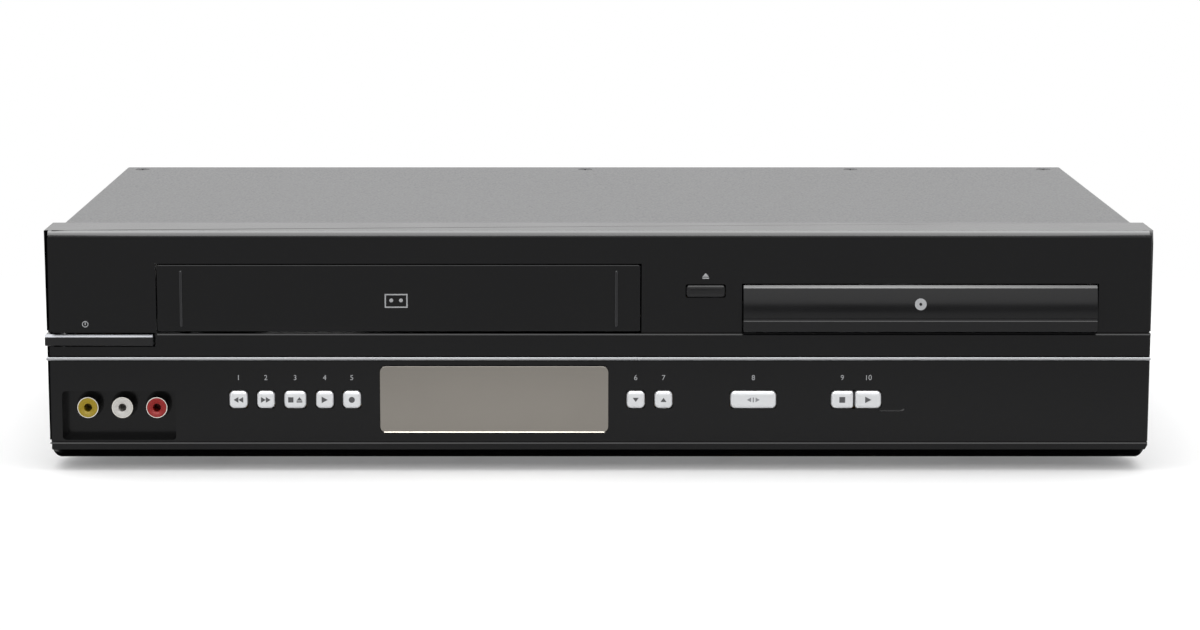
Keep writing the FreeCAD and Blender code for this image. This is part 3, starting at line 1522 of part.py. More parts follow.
# Pinch roller on its arm, swung clear of the capstan
nip = float(S.capstan_radius + S.roller_radius + S.roller_nip)
pressed = Vector(float(S.capstan_x - S.arm_pivot_x),
                 float(S.capstan_setback - S.arm_pivot_setback) - nip, 0)
resting = FreeCAD.Rotation(Z_AXIS, float(S.arm_swing)).multVec(pressed)
roller_x = pivot_x + resting.x
roller_y = pivot_y + resting.y
roller_top = S.roller_z + S.roller_height
arm_low = deck_top + 0.8
bar = Piece()
side_step = Vector(-resting.y, resting.x, 0).normalize() * 3.5
bar.pad("top", S.arm_z,
        [polygon((pivot_x + side_step.x, pivot_y + side_step.y),
                 (pivot_x - side_step.x, pivot_y - side_step.y),
                 (roller_x - side_step.x, roller_y - side_step.y),
                 (roller_x + side_step.x, roller_y + side_step.y))], S.arm_thickness)
arm = fuse(
    bar.body,
    rod("z", pivot_x, pivot_y, arm_low, 4.0, deck_top + 8 - arm_low),
    rod("z", roller_x, roller_y, S.arm_z, 3.5, S.arm_thickness),
    rod("z", roller_x, roller_y, S.arm_z, 2.6, S.roller_z - 0.2 - S.arm_z),
    rod("z", roller_x, roller_y, S.arm_z, S.capstan_radius, roller_top + 1.2 - S.arm_z),
)
node("pinch_arm", cut(arm, rod("z", pivot_x, pivot_y, deck_top, S.reel_post + RUN, 20)))
roller = cut(
    rod("z", roller_x, roller_y, S.roller_z, S.roller_radius, S.roller_height),
    rod("z", roller_x, roller_y, S.roller_z - 1, S.capstan_radius + RUN, S.roller_height + 2),
)
node("pinch_roller", roller)

# Drum: the lower half stands on the deck, the upper half turns on the same slanted axis
lean = FreeCAD.Rotation(Y_AXIS, float(S.drum_tilt))


def leaning(low, radius, length):
    """A round bar on the slanted axis, from this far above the deck."""
    start = lean.multVec(Vector(0, 0, float(low)))
    bar = rod("z", S.door_x + start.x, drum_y + start.y, deck_top + start.z, radius, length)
    bar.Placement = FreeCAD.Placement(bar.Placement.Base, lean)
    return bar


split = S.drum_seat + S.lower_drum_height
reach_out = S.drum_radius + 8
node("lower_drum", cut(
    leaning(-4, S.drum_radius, split + 4),
    box((deck_x(-reach_out), deck_x(reach_out)), (drum_y - reach_out, drum_y + reach_out),
        (deck_top - 12, deck_top)),
    leaning(-8, S.drum_shaft + RUN, split + 12),
))
cap_top = split + S.drum_slit + S.upper_drum_height
node("upper_drum", cut(
    fuse(
        leaning(split + S.drum_slit, S.drum_radius, S.upper_drum_height),
        leaning(-10, S.drum_shaft, split + 11),
        leaning(-4.6 - S.rotor_height, S.rotor_radius, S.rotor_height),
        leaning(cap_top - 0.1, S.drum_radius - 14, 1.6),
    ),
    leaning(cap_top - 2, 1.6, 6),
))

# Heads and tape guides that stand beside the drum
post_y = back(S.drum_setback - S.drum_radius + 2)
head_top = S.roller_z + 17
guides = []
for offset in (-38, 40):
    guides.append(fuse(
        rod("z", deck_x(offset), post_y, deck_top, 1.8, head_top - deck_top),
        rod("z", deck_x(offset), post_y, deck_top, 3.5, S.roller_z - deck_top),
        rod("z", deck_x(offset), post_y, head_top - 1, 3.0, 1.0),
    ))
erase_y, control_y = post_y + 3.4, post_y + 5.4
erase = fuse(
    box((deck_x(-53), deck_x(-43)), (erase_y, erase_y + 8), (deck_top, deck_top + 2)),
    box((deck_x(-52), deck_x(-44)), (erase_y, erase_y + 7), (deck_top + 1.9, head_top)),
)
control = fuse(
    box((deck_x(35), deck_x(46)), (control_y, control_y + 10), (deck_top, deck_top + 2)),
    box((deck_x(36), deck_x(45)), (control_y, control_y + 8), (deck_top + 1.9, head_top)),
)
node("tape_heads", group(*guides, erase, control))


# Gears: involute teeth, each flank an arc through three points of the involute
PRESSURE = math.radians(20)


def gear_face(module, teeth, start_angle, backlash=0.2):
    """The outline of a spur gear round the origin, with a tooth at the start angle."""
    module = float(module)
    pitch = module * teeth / 2
    base_radius = pitch * math.cos(PRESSURE)
    tip, root = pitch + 0.8 * module, pitch - 1.0 * module
    low = max(root, base_radius)
    roll = math.tan(PRESSURE) - PRESSURE

    def half_angle(radius):
        flank = math.acos(min(1.0, base_radius / radius))
        return math.pi / 2 / teeth - backlash / 4 / pitch + roll - math.tan(flank) + flank

    def spot(radius, angle):
        return Vector(radius * math.cos(angle), radius * math.sin(angle), 0)

    edges = []
    step = 2 * math.pi / teeth
    middle = (low + tip) / 2
    for tooth in range(teeth):
        centre = math.radians(float(start_angle)) + tooth * step
        wide, half, thin = half_angle(low), half_angle(middle), half_angle(tip)
        if root < low:
            edges.append(Part.LineSegment(spot(root, centre - wide), spot(low, centre - wide)))
        edges.append(Part.Arc(spot(low, centre - wide), spot(middle, centre - half),
                              spot(tip, centre - thin)))
        edges.append(Part.Arc(spot(tip, centre - thin), spot(tip, centre),
                              spot(tip, centre + thin)))
        edges.append(Part.Arc(spot(tip, centre + thin), spot(middle, centre + half),
                              spot(low, centre + wide)))
        if root < low:
            edges.append(Part.LineSegment(spot(low, centre + wide), spot(root, centre + wide)))
        following = centre + step - wide
        edges.append(Part.Arc(spot(root, centre + wide), spot(root, centre + step / 2),
                              spot(root, following)))
    return Part.Face(Part.Wire([edge.toShape() for edge in edges]))


def gear(x, y, z, module, teeth, start_angle, height):
    """A spur gear that keeps its place through its own placement."""
    item = shaped(gear_face(module, teeth, start_angle).extrude(Vector(0, 0, float(height))))
    place(item, x, y, z)
    return item


# Loading gears: the cam gear on its post and the pinion of the loading motor
cam_teeth, pinion_teeth = int(SIZES["cam_teeth"]), int(SIZES["pinion_teeth"])
cam_wheel = fuse(
    gear(cam_x, cam_y, S.cam_z, S.cam_module, cam_teeth, 270, S.cam_height),
    rod("z", cam_x, cam_y, S.cam_z - 3.6, 6.0, S.cam_height + 5.6),
    rod("z", cam_x, cam_y + 13, S.cam_z + S.cam_height - 0.1, 2.0, 2.6),
)
node("cam_gear", cut(
    cam_wheel,
    rod("z", cam_x, cam_y, S.cam_z - 5, 2.5 + RUN, 20),
    *[rod("z", cam_x + 12 * math.cos(turn), cam_y + 12 * math.sin(turn), S.cam_z - 1, 3.2, 8)
      for turn in (math.radians(-150), math.radians(-90), math.radians(-30))],
))
motor_top = S.cam_z - 1
node("loading_pinion", fuse(
    gear(cam_x, pinion_y, S.cam_z, S.cam_module, pinion_teeth, 90 + 180 / pinion_teeth,
         S.cam_height + 1),
    rod("z", cam_x, pinion_y, motor_top - 6, 1.0, S.cam_height + 8),
    rod("z", cam_x, pinion_y, motor_top + 0.3, 2.5, 1.0),
))


# Belts: flat loops round two pulleys
def loop_face(x1, y1, r1, x2, y2, r2):
    """The filled outline round two circles of different size."""
    x1, y1, r1, x2, y2, r2 = (float(value) for value in (x1, y1, r1, x2, y2, r2))
    heading = math.atan2(y2 - y1, x2 - x1)
    spread = math.acos((r1 - r2) / math.hypot(x2 - x1, y2 - y1))

    def spot(x, y, radius, angle):
        return Vector(x + radius * math.cos(angle), y + radius * math.sin(angle), 0)

    left, right = heading + spread, heading - spread
    return Part.Face(Part.Wire([
        Part.Arc(spot(x1, y1, r1, left), spot(x1, y1, r1, heading + math.pi),
                 spot(x1, y1, r1, right)).toShape(),
        Part.LineSegment(spot(x1, y1, r1, right), spot(x2, y2, r2, right)).toShape(),
        Part.Arc(spot(x2, y2, r2, right), spot(x2, y2, r2, heading),
                 spot(x2, y2, r2, left)).toShape(),
        Part.LineSegment(spot(x2, y2, r2, left), spot(x1, y1, r1, left)).toShape(),
    ]))


def belt(first, second, z, width):
    """A belt that lies on the rims of two pulleys, each given as x, y and radius."""
    inner_face = loop_face(*first[:2], first[2] + 0.02, *second[:2], second[2] + 0.02)
    outer_face = loop_face(*first[:2], first[2] + S.belt_width, *second[:2],
                           second[2] + S.belt_width)
    band = outer_face.cut(inner_face).extrude(Vector(0, 0, float(width)))
    band.translate(Vector(0, 0, float(z)))
    return shaped(band)


capstan_belt = belt((S.door_x, reel_y, S.idler_pulley), (capstan_x, capstan_y, S.capstan_pulley),
                    pulley_low + 0.3, S.pulley_height - 0.6)


# Disc loader. Its pieces are placed from the middle of the tray.
def load_x(offset):
    return S.tray_x + offset


disc_y = back(S.disc_setback)
floor_top = S.tray_floor_z + S.tray_floor
runner_top = S.tray_floor_z + 2.0
guide_top = floor_top + 2.2
runner_half = S.tray_half + S.tray_runner
gear_y = back(S.tray_gear_setback)
tray_gear_radius = S.tray_module * S.tray_gear_teeth / 2
gear_x = load_x(tray_gear_radius - S.rack_line)
motor_x = gear_x + S.tray_pulley_offset
base_top = S.loader_bottom + 2.0
base_rear = back(S.traverse_front - 3)
hinge_line = back(S.traverse_hinge_setback)
hinge_height = S.tray_floor_z - 7.1

# Loader frame: side channels for the tray, a base, four legs and the clamper bridge
loader = Piece("loader_frame", refine=False)
loader_front, loader_back = back(S.loader_front), back(S.loader_rear)
loader.pad("top", S.loader_bottom,
           [rectangle(load_x(-S.loader_half), load_x(S.loader_half), loader_front,
                      loader_back)], guide_top - S.loader_bottom)
lip = S.tray_half + 0.4
groove_half = runner_half + GAP
cavity = S.tray_half - GAP
groove_low = S.tray_floor_z - GAP
groove_high = runner_top + GAP
loader.cut("front", loader_front - 1,
           [polygon((load_x(-lip), guide_top + 1), (load_x(-lip), groove_high),
                    (load_x(-groove_half), groove_high), (load_x(-groove_half), groove_low),
                    (load_x(groove_half), groove_low), (load_x(groove_half), groove_high),
                    (load_x(lip), groove_high), (load_x(lip), guide_top + 1))],
           S.loader_rear - S.loader_front + 2)
loader.cut("top", base_top,
           [rectangle(load_x(-cavity), load_x(cavity), loader_front - 1, base_rear + 1)], 20)
loader.cut("top", S.loader_bottom - 1,
           [rectangle(load_x(-cavity), load_x(cavity), base_rear, back(S.tray_rear - 1))], 20)
loader.pad("top", S.loader_bottom,
           [circle(gear_x, gear_y, 4.0)], base_top + 0.8 - S.loader_bottom)
tray_gear_low = S.tray_floor_z - 3.5
loader.pad("top", base_top, [circle(gear_x, gear_y, S.pin_radius)],
           tray_gear_low + 3.1 - base_top)
loader.cut("top", S.loader_bottom - 1, [circle(motor_x, gear_y, 2.0)], 6)
leg = S.loader_leg / 2
for x_side in (-1, 1):
    x = load_x((S.loader_half - leg - 0.5) * x_side)
    for y in (back(S.bezel_depth + leg + 1.5), loader_back - 6):
        loader.pad("top", PAN_TOP, [rectangle(x - leg, x + leg, y - leg, y + leg)],
                   S.loader_bottom - PAN_TOP + 0.5)
for side in (-1, 1):
    ear_middle = load_x((cavity - 5.8) * side)
    loader.pad("side", ear_middle - 5.9,
               [rectangle(hinge_line - 4, hinge_line + 4, hinge_height - 3.3,
                          hinge_height + 3.3)], 11.8)
loader.cut("side", load_x(-cavity + 0.01), [circle(hinge_line, hinge_height, S.reel_post + RUN)],
           cavity * 2 - 0.02)
bridge_front = disc_y - S.bridge_half
bridge_top = S.bridge_z + S.bridge_thickness
post_inner = S.loader_half - 4
loader.pad("front", bridge_front,
           [polygon((load_x(-S.loader_half), guide_top - 0.2), (load_x(-post_inner), guide_top - 0.2),
                    (load_x(-post_inner), S.bridge_z), (load_x(post_inner), S.bridge_z),
                    (load_x(post_inner), guide_top - 0.2), (load_x(S.loader_half), guide_top - 0.2),
                    (load_x(S.loader_half), bridge_top), (load_x(-S.loader_half), bridge_top))],
           S.bridge_half * 2)
loader.cut("top", S.bridge_z - 1, [circle(S.tray_x, disc_y, S.clamper_hole)],
           S.bridge_thickness + 2)
for side in (-1, 1):
    rib_middle = load_x(40 * side)
    loader.pad("top", bridge_top - 0.1,
               [rectangle(rib_middle - 22, rib_middle + 22, disc_y - 1, disc_y + 1)], 3.1)
loader.body.Tip.Refine = True

# Disc tray: a dished plate on two runners, with a rack below its left edge
tray = Piece(refine=False)
tray_start = back(S.tray_setback)
rim_top = S.tray_floor_z + S.tray_rim
rim_rear = disc_y + S.disc_recess + 4
tray.pad("top", S.tray_floor_z,
         [rectangle(load_x(-runner_half), load_x(runner_half), tray_start + 1,
                    back(S.tray_rear))], 2.0)
tray.pad("top", S.tray_floor_z,
         [rectangle(load_x(-S.tray_half), load_x(S.tray_half), tray_start, back(S.tray_rear))],
         S.tray_floor)
tray.pad("top", floor_top - 0.1,
         [rectangle(load_x(-S.tray_half), load_x(S.tray_half), tray_start, rim_rear)],
         rim_top - floor_top + 0.1)
for side in (-1, 1):
    rail_middle = load_x((S.tray_half - 1.5) * side)
    tray.pad("top", floor_top - 0.1,
             [rectangle(rail_middle - 1.5, rail_middle + 1.5, rim_rear - 0.5,
                        back(S.tray_rear))], 1.5)
tray.cut("top", floor_top, [circle(S.tray_x, disc_y, S.disc_recess)], 10)
tray.cut("top", floor_top - S.small_recess_depth,
         [circle(S.tray_x, disc_y, S.small_disc_recess)], 10)
tray.cut("top", S.tray_floor_z - 1,
         [rectangle(load_x(-S.tray_slot_half), load_x(S.tray_slot_half), disc_y,
                    back(S.tray_slot_rear))], 20)
tray.cut("top", S.tray_floor_z - 1, [circle(S.tray_x, disc_y, S.tray_hole)], 20)
for side in (-1, 1):
    finger = load_x(S.tray_half * side)
    tray.cut("top", floor_top, [circle(finger, tray_start, 24.0)], 10)
tray.pad("top", floor_top - 0.1,
         [rectangle(load_x(-S.tray_half), load_x(S.tray_half), tray_start, tray_start + 2.0)],
         3.1)


def rack_points(line, centre, front_end, rear_end, module, backlash=0.2):
    """A rack along Y whose teeth face +X, with a tooth centred beside its gear."""
    pitch = math.pi * float(module)
    line, centre, module = float(line), float(centre), float(module)
    slope = math.tan(PRESSURE)
    wide = pitch / 4 - backlash / 4
    tip, root = line + 0.8 * module, line - 1.0 * module
    half_tip, half_root = wide - 0.8 * module * slope, wide + 1.0 * module * slope
    first = math.ceil((float(front_end) + half_root - centre) / pitch)
    last = math.floor((float(rear_end) - half_root - centre) / pitch)
    points = [(root - 2.2 * module, float(rear_end)), (root - 2.2 * module, float(front_end)),
              (root, float(front_end))]
    for index in range(first, last + 1):
        y = centre + index * pitch
        points += [(root, y - half_root), (tip, y - half_tip), (tip, y + half_tip),
                   (root, y + half_root)]
    return points + [(root, float(rear_end))]


def rack_bar(line, centre, front_end, rear_end, module, z, height):
    points = rack_points(line, centre, front_end, rear_end, module)
    corners = [Vector(x, y, float(z)) for x, y in points]
    face = Part.Face(Part.makePolygon(corners + corners[:1]))
    return shaped(face.extrude(Vector(0, 0, float(height))))


rack_rear = back(S.tray_gear_setback + S.tray_travel + 7)
tray_rack = rack_bar(load_x(-S.rack_line), gear_y, back(S.rack_front), rack_rear,
                     S.tray_module, S.tray_floor_z - S.rack_height - 0.2, S.rack_height + 0.3)
node("disc_tray", fuse(tray.body, tray_rack))

# Tray gear with its belt wheel, and the small pulley of the tray motor
tray_teeth = int(SIZES["tray_gear_teeth"])
wheel_low = base_top + 1.0
node("tray_gear", cut(
    fuse(
        gear(gear_x, gear_y, tray_gear_low, S.tray_module, tray_teeth, 180 + 180 / tray_teeth, 3.1),
        rod("z", gear_x, gear_y, wheel_low, S.tray_wheel_radius, 3.5),
        rod("z", gear_x, gear_y, wheel_low, 5.0, tray_gear_low + 1 - wheel_low),
    ),
    rod("z", gear_x, gear_y, base_top, S.pin_radius + RUN, 20),
    *[rod("z", gear_x + 8.3 * math.cos(turn), gear_y + 8.3 * math.sin(turn), wheel_low - 1,
          1.6, 5) for turn in (0.5, 2.6, 4.7)],
))
motor_face = S.loader_bottom
node("tray_pulley", fuse(
    rod("z", motor_x, gear_y, wheel_low, S.tray_pulley_radius, 3.5),
    rod("z", motor_x, gear_y, motor_face - 8, 1.0, wheel_low + 4.5 - motor_face + 8),
))
tray_belt = belt((gear_x, gear_y, S.tray_wheel_radius), (motor_x, gear_y, S.tray_pulley_radius),
                 wheel_low + 0.3, 2.9)
node("drive_belts", group(capstan_belt, tray_belt))


# Motors of the cassette loading and of the tray, each a can with a bored top
def motor_can(x, y, low, high):
    return cut(
        fuse(rod("z", x, y, low, S.motor_radius, high - low - 0.8),
             rod("z", x, y, low, 4.0, high - low)),
        rod("z", x, y, high - 9, 1.0 + RUN, 12),
    )


node("motor_cans", group(motor_can(cam_x, pinion_y, deck_top, motor_top),
                         motor_can(motor_x, gear_y, motor_face - 16.5, motor_face)))

# Clamper: a puck below the bridge and a flange above it, turning together
puck_low = rim_top + 1.3
node("clamper", cut(
    fuse(
        rod("z", S.tray_x, disc_y, puck_low, S.clamper_radius, S.bridge_z - 0.4 - puck_low),
        rod("z", S.tray_x, disc_y, puck_low, S.clamper_hole - RUN, bridge_top + 0.6 - puck_low),
        rod("z", S.tray_x, disc_y, bridge_top + 0.2, S.clamper_radius + 0.5, S.clamper_plate),
    ),
    rod("z", S.tray_x, disc_y, puck_low - 1, 4.2, 2.4),
    *[rod("z", S.tray_x + 9.5 * math.cos(turn), disc_y + 9.5 * math.sin(turn),
          bridge_top + 1.0, 1.3, 2) for turn in (0.3, 2.4, 4.5)],
))

# The traverse group is laid out level, as it stands when lifted, then dropped about its hinge
pivot = Vector(0, float(hinge_line), float(hinge_height))
drop_angle = math.degrees(math.asin(float(S.traverse_lift)
                                    / float(S.traverse_hinge_setback - S.disc_setback)))
drop = FreeCAD.Rotation(X_AXIS, drop_angle)


def lowered(label, item):
    """Names a piece of the traverse and swings it down to its place at rest."""
    whole = doc.addObject("Part::Compound", "swung")
    whole.Links = [item]
    whole.Placement = FreeCAD.Placement(pivot - drop.multVec(pivot), drop)
    return node(label, whole)


plate_low = S.tray_floor_z - 9.4
plate_top = plate_low + S.traverse_thickness
pickup_front = back(S.disc_setback + S.pickup_inner - 12)
window_front = disc_y + S.spindle_motor_radius + 0.4
rod_rear = pickup_front + S.pickup_length + S.pickup_travel + 6
sled_y = back(S.sled_setback)
sled_radius = S.sled_module * S.sled_teeth / 2
sled_x = load_x(S.sled_rack_line) + sled_radius
rod_z = plate_low + S.traverse_thickness / 2 + 0.5
frame_piece = Piece()
frame_piece.pad("top", plate_low,
                [rectangle(load_x(-S.traverse_half), load_x(S.traverse_half),
                           back(S.traverse_front), back(S.traverse_rear))], S.traverse_thickness)
frame_piece.cut("top", plate_low - 1,
                [rectangle(load_x(-S.pickup_half - 2), load_x(S.pickup_half + 2),
                           window_front, rod_rear)], S.traverse_thickness + 2)
frame_piece.cut("top", plate_low - 1,
                [rounded(load_x(-38), load_x(-18), back(S.traverse_front + 5), disc_y - 2, 3),
                 rounded(load_x(18), load_x(38), back(S.traverse_front + 5), disc_y - 2, 3)],
                S.traverse_thickness + 2)
for side in (-1, 1):
    stub_middle = load_x((S.traverse_half + 8) * side)
    frame_piece.pad("side", stub_middle - 8.1, [circle(hinge_line, hinge_height, S.reel_post)],
                    16.2)
rods = [
    rod("y", load_x(S.guide_offset * side), window_front - 1, rod_z, S.guide_rod,
        rod_rear - window_front + 2)
    for side in (-1, 1)
]
spindle_motor = rod("z", S.tray_x, disc_y, plate_low - 2, S.spindle_motor_radius,
                    S.seat_z - S.turntable_thickness - 0.3 - plate_low + 2)
sled_motor = rod("z", sled_x, sled_y + 16, plate_low - 9, 7.0, 9.1)
sled_post = rod("z", sled_x, sled_y, plate_top - 0.1, S.guide_rod, 2.9)
traverse = cut(
    fuse(frame_piece.body, *rods, spindle_motor, sled_motor, sled_post),
    rod("z", S.tray_x, disc_y, plate_low - 1, S.spindle_radius + RUN, 30),
)
lowered("traverse", traverse)

# Turntable with its centring boss
seat = S.seat_z
boss_top = seat + S.turntable_boss_height
lowered("turntable", cut(
    fuse(
        rod("z", S.tray_x, disc_y, seat - S.turntable_thickness, S.turntable_radius,
            S.turntable_thickness),
        rod("z", S.tray_x, disc_y, seat - 0.1, S.turntable_boss,
            S.turntable_boss_height * 0.6 + 0.1),
        cone(S.tray_x, disc_y, seat + S.turntable_boss_height * 0.6, S.turntable_boss,
             S.turntable_boss - 1.5, S.turntable_boss_height * 0.4),
        rod("z", S.tray_x, disc_y, plate_low, S.spindle_radius, seat - plate_low),
    ),
    *[rod("z", S.tray_x + 11 * math.cos(turn), disc_y + 11 * math.sin(turn), seat - 0.8,
          1.4, 2) for turn in (0.2, 2.3, 4.4)],
))

# Pickup: a sledge on two rods, with its lens and a rack at its right
lens_y = back(S.disc_setback + S.pickup_inner)
rack_z = plate_top + 0.4
sledge = fuse(
    box((load_x(-S.pickup_half), load_x(S.pickup_half)),
        (pickup_front, pickup_front + S.pickup_length), (rod_z - 2.6, rod_z + 3.4)),
    box((load_x(-14), load_x(14)), (lens_y - 8, lens_y + 8), (rod_z + 3.3, rod_z + 5.6)),
    rod("z", S.tray_x, lens_y, rod_z + 5.5, S.lens_radius + 1.6, 0.9),
)
sled_reach = 4.0
rack_item = rack_bar(load_x(S.sled_rack_line), sled_y, sled_y - S.pickup_travel - 2,
                     sled_y + sled_reach, S.sled_module, rack_z, 2.0)
rack_foot = box((load_x(S.pickup_half - 3), load_x(S.pickup_half + 1.6)),
                (pickup_front + 2, sled_y + sled_reach), (rod_z + 2, rack_z + 2))
lowered("pickup", cut(
    fuse(sledge, rack_foot, rack_item),
    *[rod("y", load_x(S.guide_offset * side), pickup_front - 1, rod_z, S.guide_rod + RUN,
          S.pickup_length + 2) for side in (-1, 1)],
    rod("z", S.tray_x, lens_y, rod_z + 5.9, S.lens_radius, 2),
))

sled_teeth = int(SIZES["sled_teeth"])
sled_wheel = cut(
    fuse(
        gear(sled_x, sled_y, rack_z, S.sled_module, sled_teeth, 180 + 180 / sled_teeth, 2.0),
        rod("z", sled_x, sled_y, plate_top + 0.2, 3.0, 0.4),
    ),
    rod("z", sled_x, sled_y, plate_top, S.guide_rod + RUN, 6),
)
lowered("sled_gear", sled_wheel)


# Springs that shut the cassette door: a small close-wound coil round each hinge pin
def door_coil(side):
    wire = float(S.spring_wire) / 2
    pitch = float(S.spring_wire) * 0.95
    turns = int(float(S.spring_turns))
    ring = float(S.spring_radius)
    coils = [Part.makeTorus(ring, wire, Vector(0, 0, pitch * index), Z_AXIS)
             for index in range(turns)]
    # one leg rests against the top of the bezel, the other against the door
    leg = wire * 0.9
    end = pitch * (turns - 1)
    leg_one = Part.makeCylinder(leg, float(TOP - WALL - hinge_z) - 0.4,
                                Vector(0, -ring, 0), -X_AXIS)
    leg_two = Part.makeCylinder(leg, float(S.hinge_rise) - 1.0, Vector(0, -ring, end), X_AXIS)
    whole = coils[0].fuse(coils[1:] + [leg_one, leg_two])
    # the coil's own axis is turned onto the hinge line
    whole.rotate(Vector(), Y_AXIS, 90)
    inner_face = float(S.door_arm_offset + S.door_arm_width)
    whole.translate(Vector(
        float(deck_x((inner_face + 0.8) * side)) - end / 2, float(hinge_y), float(hinge_z)))
    return shaped(whole)


node("door_spring", group(*pair(door_coil)))


doc.recompute()
for item in doc.Objects:
    if "Invalid" in item.State or "Error" in item.State:
        links = [link.Label for link in item.OutList]
        raise RuntimeError(f"{item.Name} ({item.Label}) of {links} is {item.State}")
for label, item in NODES.items():
    if item.Shape.isNull() or not item.Shape.isValid() or not item.Shape.Solids:
        raise RuntimeError(f"{label} has no valid solid")

os.makedirs("parts", exist_ok=True)
for label, item in NODES.items():
    item.Shape.exportStep(f"parts/{label}.step")
print(len(NODES), "sub-parts written")
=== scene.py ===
import math

import bmesh
import bpy
from mathutils import Matrix, Vector


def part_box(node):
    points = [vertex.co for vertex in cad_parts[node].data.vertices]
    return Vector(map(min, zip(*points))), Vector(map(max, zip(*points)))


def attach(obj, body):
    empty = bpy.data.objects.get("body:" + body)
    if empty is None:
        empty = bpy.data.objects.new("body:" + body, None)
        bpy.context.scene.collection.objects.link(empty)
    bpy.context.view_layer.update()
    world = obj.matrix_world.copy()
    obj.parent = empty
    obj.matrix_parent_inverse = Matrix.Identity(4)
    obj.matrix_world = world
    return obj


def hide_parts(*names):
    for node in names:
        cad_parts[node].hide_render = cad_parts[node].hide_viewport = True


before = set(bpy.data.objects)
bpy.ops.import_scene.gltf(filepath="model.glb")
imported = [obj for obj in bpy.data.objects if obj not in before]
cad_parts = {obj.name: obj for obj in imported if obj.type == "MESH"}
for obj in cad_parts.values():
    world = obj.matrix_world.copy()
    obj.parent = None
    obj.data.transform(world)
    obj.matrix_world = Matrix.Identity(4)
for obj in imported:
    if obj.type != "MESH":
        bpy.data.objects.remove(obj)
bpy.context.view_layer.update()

# The pan, the rear panel and the plates of both mechanisms: steel sheet with a
# hot-dipped zinc coat, blanked and folded. The coat froze in faint crystals, so the
# sheet is a dull grey mirror with soft patches and the fine lines of the rolling.
MM = 0.001


def shade(code):
    """An sRGB hex colour as the linear colour that a socket takes."""
    parts = [int(code[at:at + 2], 16) / 255 for at in (1, 3, 5)]
    return [p / 12.92 if p <= 0.04045 else ((p + 0.055) / 1.055) ** 2.4 for p in parts] + [1.0]


def put(tree, kind, fields={}, sockets={}, links={}):
    """Adds a node, sets its fields and sockets, and joins its sockets to other outputs."""
    node = tree.nodes.new("ShaderNode" + kind)
    for field, value in fields.items():
        setattr(node, field, value)
    for socket, value in sockets.items():
        node.inputs[socket].default_value = value
    for socket, source in links.items():
        tree.links.new(source, node.inputs[socket])
    return node


def new_tree(name):
    """A new material with empty nodes, and the Object coordinates that its patterns read."""
    material = bpy.data.materials.new(name)
    material.use_nodes = True
    material.node_tree.nodes.clear()
    place = put(material.node_tree, "TexCoord").outputs["Object"]
    return material, material.node_tree, place


def close(tree, bsdf):
    put(tree, "OutputMaterial", links={"Surface": bsdf.outputs["BSDF"]})


def dress(material, *names):
    """Gives a material to CAD nodes."""
    for name in names:
        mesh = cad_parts[name].data
        mesh.materials.clear()
        mesh.materials.append(material)


def coated_sheet(name, light, dark, roughness, crystal):
    """Zinc or tin coated sheet steel, rolled and blanked; crystal is the width of one patch."""
    material, tree, place = new_tree(name)
    patches = put(tree, "TexVoronoi", {"feature": "SMOOTH_F1"},
                  {"Scale": 1 / crystal, "Smoothness": 0.6}, {"Vector": place})
    colour = put(tree, "Mix", {"data_type": "RGBA"}, {6: shade(dark), 7: shade(light)},
                 {0: patches.outputs["Distance"]})
    stretched = put(tree, "Mapping", sockets={"Scale": (1, 40, 1)}, links={"Vector": place})
    lines = put(tree, "TexNoise", sockets={"Scale": 1 / (9 * MM), "Detail": 3},
                links={"Vector": stretched.outputs["Vector"]})
    dull = put(tree, "MapRange", sockets={"To Min": roughness - 0.07, "To Max": roughness + 0.1},
               links={"Value": lines.outputs["Fac"]})
    relief = put(tree, "Bump", sockets={"Strength": 0.12, "Distance": 0.02 * MM},
                 links={"Height": lines.outputs["Fac"]})
    close(tree, put(tree, "BsdfPrincipled", sockets={"Metallic": 1.0}, links={
        "Base Color": colour.outputs[2], "Roughness": dull.outputs["Result"],
        "Normal": relief.outputs["Normal"]}))
    return material


zinc = coated_sheet("zinc_coated_steel_sheet", "#b3b6b8", "#a8abad", 0.36, 4 * MM)
dress(zinc, "chassis_pan", "rear_panel", "deck_plate", "cassette_holder", "holder_rails")

# The tuner's screening can: thinner sheet with a bright tin coat, bent and soldered.
dress(coated_sheet("bright_tin_plate", "#cfd0cf", "#b9bab8", 0.26, 12 * MM), "tuner_box")

# Feet: four discs of moulded rubber. The dust in the mould and the handling leave them
# dull, with a slightly greyer bloom in patches.
def rubber(name, colour, bloom, roughness, grain):
    """Moulded or ground rubber; grain is the width of its fine pits."""
    material, tree, place = new_tree(name)
    cloud = put(tree, "TexNoise", sockets={"Scale": 1 / (6 * MM), "Detail": 4},
                links={"Vector": place})
    tint = put(tree, "Mix", {"data_type": "RGBA"}, {6: shade(colour), 7: shade(bloom)},
               {0: cloud.outputs["Fac"]})
    pits = put(tree, "TexNoise", sockets={"Scale": 1 / grain, "Detail": 2},
               links={"Vector": place})
    relief = put(tree, "Bump", sockets={"Strength": 0.35, "Distance": 0.05 * MM},
                 links={"Height": pits.outputs["Fac"]})
    close(tree, put(tree, "BsdfPrincipled", sockets={"Roughness": roughness, "IOR": 1.52}, links={
        "Base Color": tint.outputs[2], "Normal": relief.outputs["Normal"]}))
    return material


dress(rubber("moulded_black_rubber", "#161616", "#252524", 0.78, 0.5 * MM), "feet")


